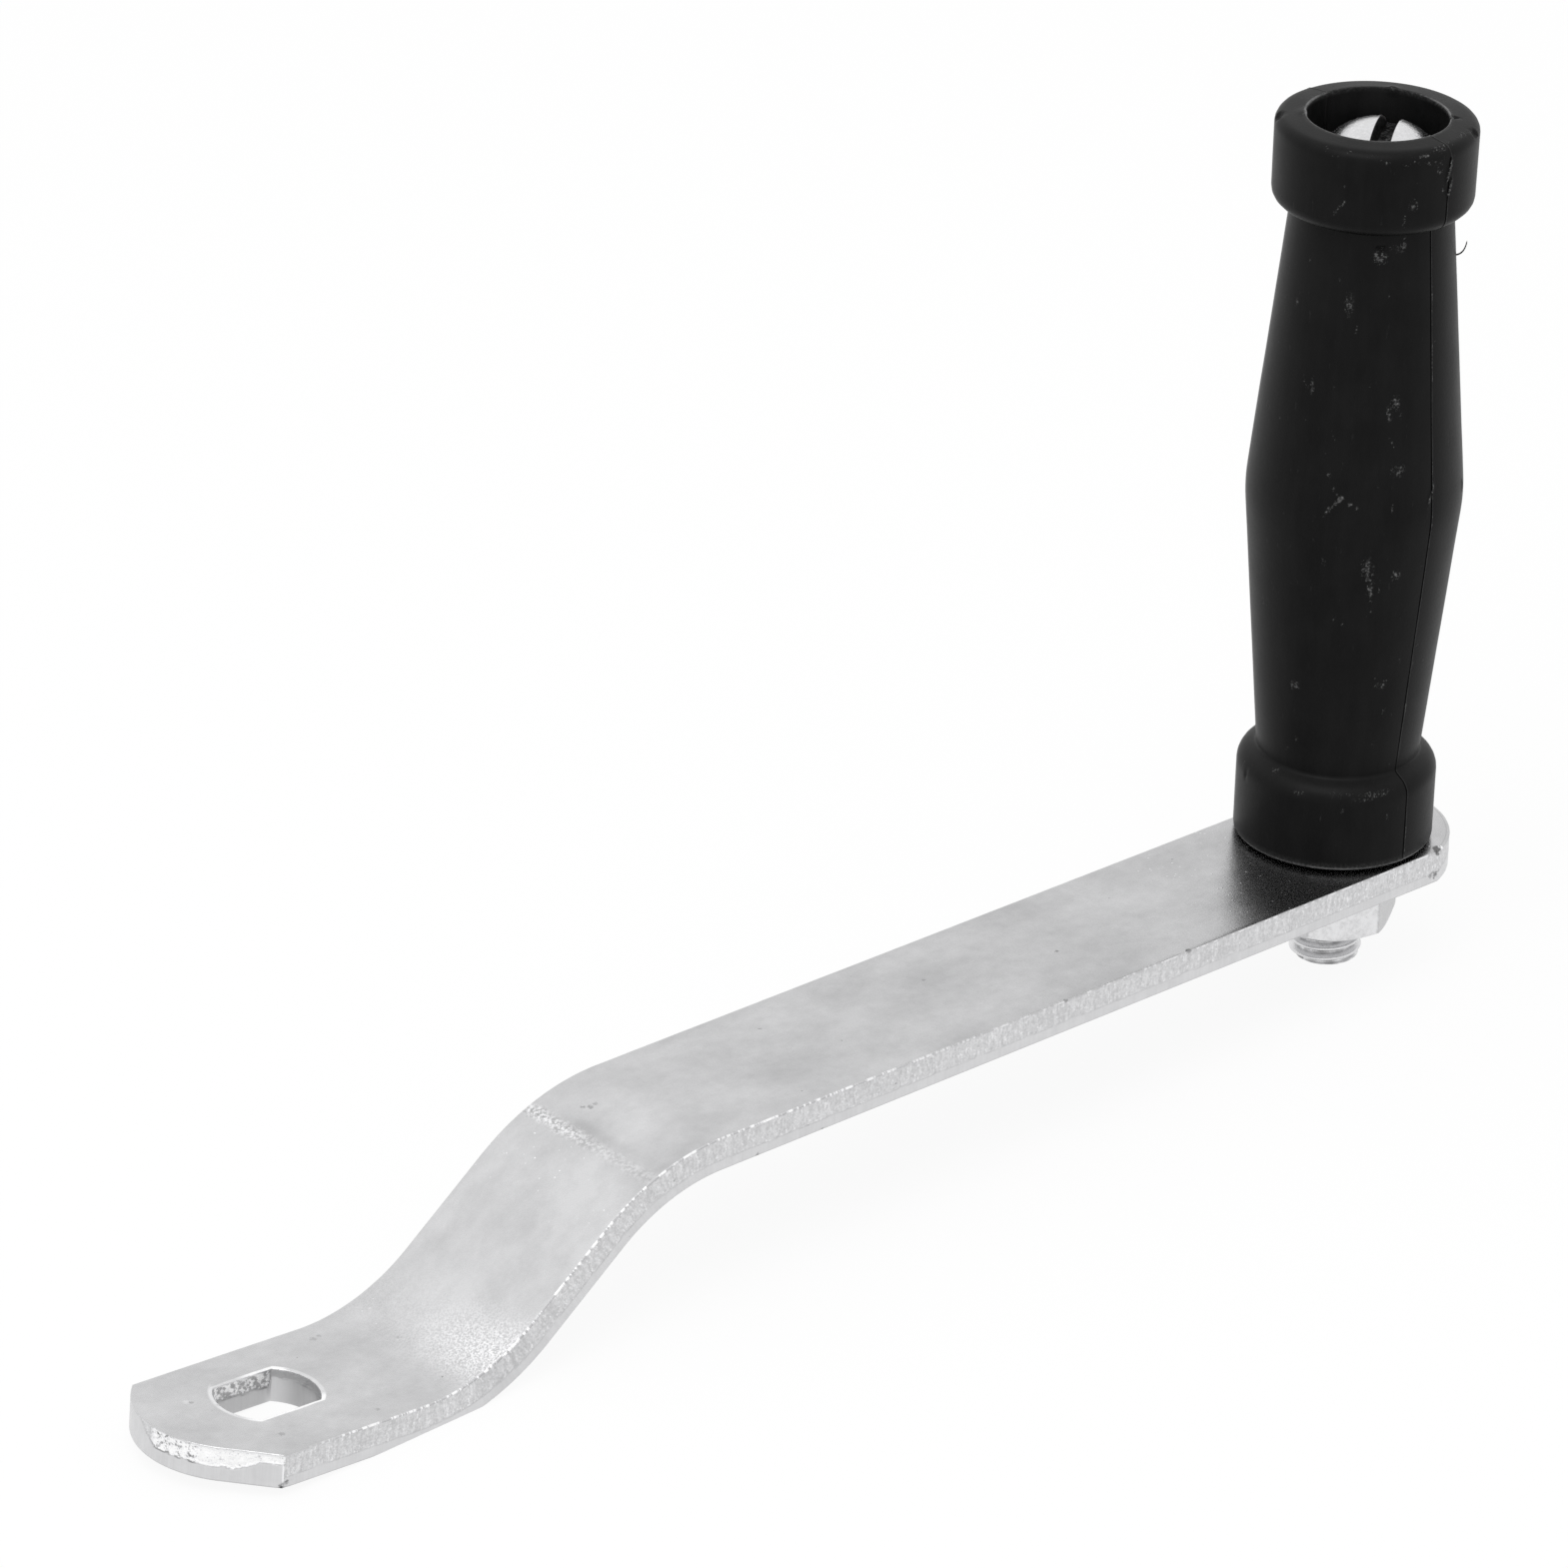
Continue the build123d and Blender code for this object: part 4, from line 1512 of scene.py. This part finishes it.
@dataclass(frozen=True)
class Scratch:
    """A thin line between two places, each an angle in degrees and a height above the base."""

    start: tuple[float, float]
    end: tuple[float, float]
    width: float = 0.16
    strength: float = 1.0
    ridge: float = 0.0  # how far it stands out

    def bell(self, angle: np.ndarray, radius: np.ndarray, height: np.ndarray) -> np.ndarray:
        """Works out a bell of the distance to the line, measured along the surface.

        Args:
            angle: Angle round the grip.
            radius: Radius of the plain surface.
            height: Height above the base.

        Returns:
            Values from 0 to 1.
        """
        middle = (self.start[0] + self.end[0]) / 2
        place = vectors(radius * turn_from(angle, np.radians(middle)), height)
        scale = radius[..., None] * np.radians(1.0)
        first = np.concatenate([scale * (self.start[0] - middle), 0 * scale + self.start[1]], axis=-1)
        last = np.concatenate([scale * (self.end[0] - middle), 0 * scale + self.end[1]], axis=-1)
        ahead = last - first
        share = np.clip(np.sum((place - first) * ahead, -1) / np.sum(ahead * ahead, -1), 0, 1)
        return spot(np.linalg.norm(place - first - ahead * share[..., None], axis=-1), self.width)


SCRATCHES = tuple(Scratch(*row) for row in (
    ((-143.5, 55.8), (-151.5, 53.3), 0.24, 0.9), ((-143.5, 55.8), (-134.0, 54.6), 0.2, 1.0),
    ((-143.5, 55.8), (-148.5, 57.2), 0.16, 0.6), ((-120.5, 68.6), (-118.2, 66.8), 0.2, 0.9),
    ((-152.5, 65.2), (-148.0, 63.4), 0.16, 0.6), ((-173.0, 71.6), (-169.5, 69.7), 0.16, 0.7),
    ((-119.5, 64.8), (-115.5, 63.2), 0.16, 0.7), ((-158.0, 95.8), (-151.0, 98.0), 0.18, 0.8),
    ((-147.0, 38.2), (-138.0, 37.1), 0.16, 0.6), ((-119.5, 44.8), (-119.0, 41.6), 0.14, 0.6),
    ((-123.5, 41.8), (-122.5, 38.9), 0.14, 0.6), ((-114.0, 104.0), (-105.0, 104.3), 0.14, 0.8),
    ((-120.0, 103.0), (-112.0, 103.2), 0.14, 0.7), ((-90.8, 97.9), (-88.0, 100.2), 0.13, 1.5, 0.35),
    ((-92.2, 100.1), (-89.0, 103.2), 0.13, 1.5, 0.35), ((-94.5, 52.9), (-92.0, 54.6), 0.12, 0.9, 0.12),
    ((-92.0, 54.6), (-88.7, 56.8), 0.14, 0.9, 0.15),
))


@dataclass
class Grip:
    """Moulded grip: two collars and a two-cone body turned about the screw, with mould lines."""

    bore: float = 5.15
    recess_radius: float = 9.5
    lower_collar: float = 13.65
    upper_collar: float = 13.6
    collar_flare: float = 0.12  # the upper collar narrows downwards by this
    lower_neck: float = 11.15
    upper_neck: float = 10.88
    belly_height: float = 51.6
    lower_height: float = 12.95
    upper_height: float = 12.5
    shoulder_fall: float = 1.4
    rim_fall: float = 0.45
    recess_floor: float = 8.4  # under the top
    unlit_rim_angle: float = np.radians(48)  # middle of the rim's stretch without the painted highlight
    scatter: int = 90
    scatter_seed: int = 12
    seams: tuple[float, float] = (np.radians(-90), np.radians(90))
    columns: int = 300
    row_step: float = 0.62
    hair_angle: float = np.radians(-43.0)
    hair_height: float = 85.5
    hair_points: int = 14
    hair_sides: int = 8
    hair_wear: float = 0.5
    shadow_start: float = -0.24  # of the painted shadow beside the parting line, along the arc
    shadow_end: float = -0.07

    def __post_init__(self) -> None:
        """Takes the grip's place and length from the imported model."""
        low, high = node_box("grip")
        self.axis = middle_of("grip")
        self.belly = (high[0] - low[0]) / 2
        self.base, self.top = low[2], high[2]

    def profile(self) -> np.ndarray:
        """Gives the grip's section from its foot up its outside and down the recess.

        Returns:
            Radii and heights above the base.
        """
        length = self.top - self.base
        brim = length - self.upper_height
        corners = [
            ((self.bore, 0.0), 0),
            ((self.lower_collar, 0.0), 0.8),
            ((self.lower_collar, self.lower_height - self.shoulder_fall), 2.5),
            ((self.lower_neck, self.lower_height), 0.6),
            ((self.belly - 0.02, self.belly_height), 25),
            ((self.upper_neck, brim + 0.02), 0.15),
            ((self.upper_collar - self.collar_flare, brim), 2.0),
            ((self.upper_collar, length - self.rim_fall), 1.45),
            ((self.recess_radius, length), 0.18),
            ((self.recess_radius, length - self.recess_floor), 0.4),
            ((self.bore, length - self.recess_floor), 0),
        ]
        points = np.array([corner for corner, _ in corners])
        return rounded_path(points, [radius for _, radius in corners], self.row_step)

    def angles(self) -> np.ndarray:
        """Spaces the angles round the grip, closer together at the mould lines.

        Returns:
            The angles, rising.
        """
        even = np.linspace(-np.pi, np.pi, self.columns, endpoint=False)
        close = np.concatenate([seam + np.radians(np.linspace(-1.6, 1.6, 17)) for seam in self.seams])
        far = np.min([np.abs(even - seam) for seam in self.seams], axis=0) > np.radians(1.8)
        return np.sort(np.concatenate([even[far], close]))

    def relief(
        self, angle: np.ndarray, radius: np.ndarray, height: np.ndarray
    ) -> tuple[np.ndarray, np.ndarray]:
        """Works out the skin's relief.

        Noise waves the skin, a bell-shaped ridge marks each mould line with a ragged fin on the
        upper collar, and each blemish is a bell in the arc and the height.

        Args:
            angle: Angle round the grip.
            radius: Radius of the plain surface.
            height: Height above the base.

        Returns:
            The push along the surface's normal, and how scuffed a point is.
        """
        place = turned(0.0, radius, angle, height)
        push = 0.03 * rough_noise(place / 9.0, 81, 2)
        scuff = np.zeros_like(push)
        for number, seam in enumerate(self.seams):
            arc = radius * turn_from(angle, seam)
            line = vectors(height, 5.0 * number)
            ragged = 0.5 + 0.5 * rough_noise(line / 2.2, 91)
            wander = 0.05 * smooth_noise(line / 1.5, 99)
            push += (0.03 + 0.07 * ragged) * spot(arc - wander, 0.12)
            push += 0.05 * (2 * number - 1) * ease(arc, -0.1, 0.1) * (1 - ease(arc, 4.0, 9.0))
            seen = ease(radius, self.recess_radius + 0.2, self.recess_radius + 0.8)
            scuff += spot(arc - wander - 0.1, 0.12) * 1.1 * ease(ragged, 0.5, 0.72) * seen
        for scratch in SCRATCHES:
            bell = scratch.bell(angle, radius, height)
            push += scratch.ridge * bell
            scuff += scratch.strength * bell
        for mark in self.marks():
            bell = mark.bell(radius * turn_from(angle, np.radians(mark.angle)), height, radius)
            crumbs = rough_noise(place * 1.6, 101 + int(mark.height)) if mark.depth > 0.02 else 0.0
            if mark.kind is Mark.SCUFF:
                push += bell * mark.depth * crumbs
                scuff += bell * (0.62 if mark.depth > 0.02 else 0.42)
            elif mark.kind is Mark.DENT:
                push -= mark.depth * ease(bell, 0.25, 0.6) * (1 + 0.3 * crumbs)
                scuff += 0.4 * bell
            else:
                push += mark.depth * bell * (1 + 0.5 * crumbs)
                scuff += 0.4 * bell
        return push, scuff

    def marks(self) -> list[Blemish]:
        """Scatters faint small marks.

        Returns:
            The marks with a place of their own and the scattered ones.
        """
        random = np.random.default_rng(self.scatter_seed)
        angle = random.uniform(-180, 180, self.scatter)
        height = random.uniform(4, 101, self.scatter)
        width = random.uniform(0.18, 0.55, self.scatter)
        tall = width * random.uniform(0.7, 3.0, self.scatter)
        faint = [Blemish(Mark.SCUFF, *numbers, 0.01) for numbers in zip(angle, height, width, tall)]
        return [*BLEMISHES, *faint]

    def hair(self, press: Press) -> None:
        """Adds a curl of flash at the body's side: a thin tube along a bent line, tapering.

        Args:
            press: Takes the grid.
        """
        angle = self.hair_angle
        share = np.linspace(0, 1, self.hair_points)
        out = 11.35 + 1.55 * np.sin(share * 1.35)
        up = self.base + self.hair_height + 0.25 * share + 1.9 * share**2.4
        line = turned(self.axis, out, angle, up)
        ahead = np.gradient(line, axis=0)
        ahead /= np.linalg.norm(ahead, axis=1)[:, None]
        side = np.array([np.sin(angle), -np.cos(angle), 0.0])
        other = np.cross(ahead, side)
        around = np.linspace(0, TURN, self.hair_sides, endpoint=False)
        thick = ((0.14 - 0.07 * share) * (share > 0) * (share < 1))[:, None, None]
        circle = np.cos(around)[None, :, None] * side + np.sin(around)[None, :, None] * other[:, None, :]
        points = line[:, None, :] + thick * circle
        press.grid(points, closed=True, wear=vectors(self.hair_wear + 0 * points[..., 0], 0.0, 0.0))

    def build(self) -> bpy.types.Object:
        """Builds the grip.

        Returns:
            The grip's object.
        """
        profile = self.profile()
        ahead = np.gradient(profile, axis=0)
        ahead /= np.linalg.norm(ahead, axis=1)[:, None]
        angle, radius = np.meshgrid(self.angles(), profile[:, 0])
        height = np.broadcast_to(profile[:, 1:2], radius.shape)
        push, scuff = self.relief(angle, radius, height)
        outside = ease(radius, self.bore + 0.5, self.bore + 2.0) * ease(height, -0.1, 0.4)
        push = push * outside
        out = ahead[:, 1:2]
        up = -ahead[:, 0:1]
        # Painted highlight along the recess's rim and the lower collar's foot, left out on the rim's far
        # stretch.
        from_rim = np.abs(height - (self.top - self.base)) + 1.2 * np.abs(radius - self.recess_radius)
        rim_near = spot(from_rim, 0.36)
        foot_near = spot(np.hypot(height - 0.4, radius - self.lower_collar + 0.12), 0.35)
        kept = 1 - 0.85 * spot(angle - self.unlit_rim_angle, 0.8)
        edge = np.clip(1.15 * rim_near * kept + 0.9 * foot_near, 0, 1)
        # Scuffs, the painted rim highlight and the painted top light.
        wear = vectors(scuff, edge, np.clip(up, 0, 1))
        points = turned(self.axis, radius + push * out, angle, self.base + height + push * up)
        points, wear = (np.concatenate([grid, grid[:1]]) for grid in (points, wear))
        press = Press()
        press.grid(points, closed=True, wear=wear)
        self.hair(press)
        return press.strike("grip_moulding", 32)

    def dress(self, piece: bpy.types.Object) -> None:
        """Finishes the grip, with a copy of its black set to the light in the recess and a darker copy beside
        a parting line, a painted shadow.

        Args:
            piece: The grip's object.
        """
        centres = np.empty(3 * len(piece.data.polygons))
        piece.data.polygons.foreach_get("center", centres)
        x, y, z = centres.reshape(-1, 3).T / MM
        radius = np.hypot(x - self.axis, y)
        arc = radius * turn_from(np.arctan2(y, x - self.axis), self.seams[0])
        # The recess gets a copy of the black set to the light there; a darker copy beside a parting line is a
        # painted shadow.
        shaded = (radius < self.recess_radius + 0.02) & (z > self.base + 1)
        parting = (arc > self.shadow_start) & (arc < self.shadow_end) & (z < self.top - 2)
        piece.data.polygons.foreach_set("material_index", (shaded + 2 * parting).astype(np.int32))
        skin = BlackMoulding("black moulding", 0.0028, 0.1)
        well = BlackMoulding("black moulding in the recess", 0.004, 0.12)
        line = BlackMoulding("black moulding at the parting line", 0.0005, 0.02)
        materials = [finish.material() for finish in (skin, well, line)]
        dress(piece, materials, Body.GRIP, "grip")


# ---------------------------------------------------------------------------------------------
# Studio


@dataclass
class Studio:
    """Pale floor, plain soft light and the camera."""

    azimuth: float = np.radians(-42.301)
    elevation: float = np.radians(26.4)
    roll: float = np.radians(1.796)
    target: tuple[float, float, float] = (0.0967, 0.0139, 0.0498)
    distance: float = 1.0805
    lens: float = 190.29
    floor_size: float = 6.0
    floor_grey: float = 0.93
    floor_white: float = 0.9  # share of plain white in the floor's look
    floor_clearance: float = 0.25  # mm
    ambient: float = 0.86
    lamp_size: float = 0.9
    lamp_energy: float = 5.0
    lamp_place: tuple[float, float, float] = (-0.55, -0.25, 1.1)  # from the target

    def camera(self) -> None:
        """Places the camera."""
        az, el = self.azimuth, self.elevation
        back = np.array([np.sin(az) * np.cos(el), -np.cos(az) * np.cos(el), np.sin(el)])
        right = np.array([np.cos(az), np.sin(az), 0.0])
        up = np.cross(back, right)
        across = right * np.cos(self.roll) + up * np.sin(self.roll)
        above = up * np.cos(self.roll) - right * np.sin(self.roll)
        place = np.array(self.target) + back * self.distance
        data = bpy.data.cameras.new("camera")
        data.lens = self.lens
        data.sensor_width = 36.0
        made = bpy.data.objects.new("camera", data)
        made.matrix_world = Matrix([*np.column_stack([across, above, back, place]).tolist(), [0, 0, 0, 1]])
        bpy.context.scene.collection.objects.link(made)
        bpy.context.scene.camera = made

    def floor(self) -> None:
        """Lays the floor under the hub pad's end and the screw's end, where the handle rests."""
        arm_low = node_box("arm")[0]
        slope = (node_box("grip_screw")[0][2] - arm_low[2]) / (middle_of("grip_screw") - arm_low[0])
        half = self.floor_size / 2
        x, y = np.meshgrid([-half, half], [-half, half])
        z = (arm_low[2] - self.floor_clearance) * MM + (x - arm_low[0] * MM) * slope
        mesh = bpy.data.meshes.new("floor")
        points = vectors(x, y, z).reshape(-1, 3)
        mesh.from_pydata(points.tolist(), [], [(0, 1, 3, 2)])
        made = bpy.data.objects.new("floor", mesh)
        bpy.context.scene.collection.objects.link(made)
        material, board = new_material("pale floor")
        matt = board.node("BsdfDiffuse", {}, {"Color": (*[self.floor_grey] * 3, 1.0)})[0]
        white = board.node("Emission", {}, {"Strength": 1.0})[0]
        mix = {0: board.plainly_seen() * self.floor_white, 1: matt, 2: white}
        board.finish(board.node("MixShader", {}, mix)[0])
        mesh.materials.append(material)

    def light(self) -> None:
        """Sets an even white surround and one large soft lamp over the left shoulder."""
        world = bpy.data.worlds.new("surround")
        bpy.context.scene.world = world
        world.use_nodes = True
        board = Board(world.node_tree)
        strength = self.ambient + board.plainly_seen() * (1 - self.ambient)
        sky = board.node("Background", {}, {"Color": (1, 1, 1, 1), "Strength": strength})[0]
        board.finish(sky, "OutputWorld")
        data = bpy.data.lights.new("soft lamp", "AREA")
        data.size = self.lamp_size
        data.energy = self.lamp_energy
        lamp = bpy.data.objects.new("soft lamp", data)
        aim = np.array(self.target)
        lamp.location = place = aim + np.array(self.lamp_place)
        lamp.rotation_mode = "QUATERNION"
        lamp.rotation_quaternion = Vector(aim - place).to_track_quat("-Z", "Y")
        bpy.context.scene.collection.objects.link(lamp)

    def build(self) -> None:
        """Sets the stage."""
        bpy.context.scene.view_settings.view_transform = "Standard"
        self.camera()
        self.floor()
        self.light()
        LOG.info("studio: camera, floor and light")


def main() -> None:
    """Builds and dresses each sub-assembly in order."""
    logging.basicConfig(level=logging.INFO)
    Studio().build()
    for assembly in (Arm(), AxleScrew(), LockNut(), Grip()):
        assembly.dress(assembly.build())


if __name__ == "__main__":
    main()
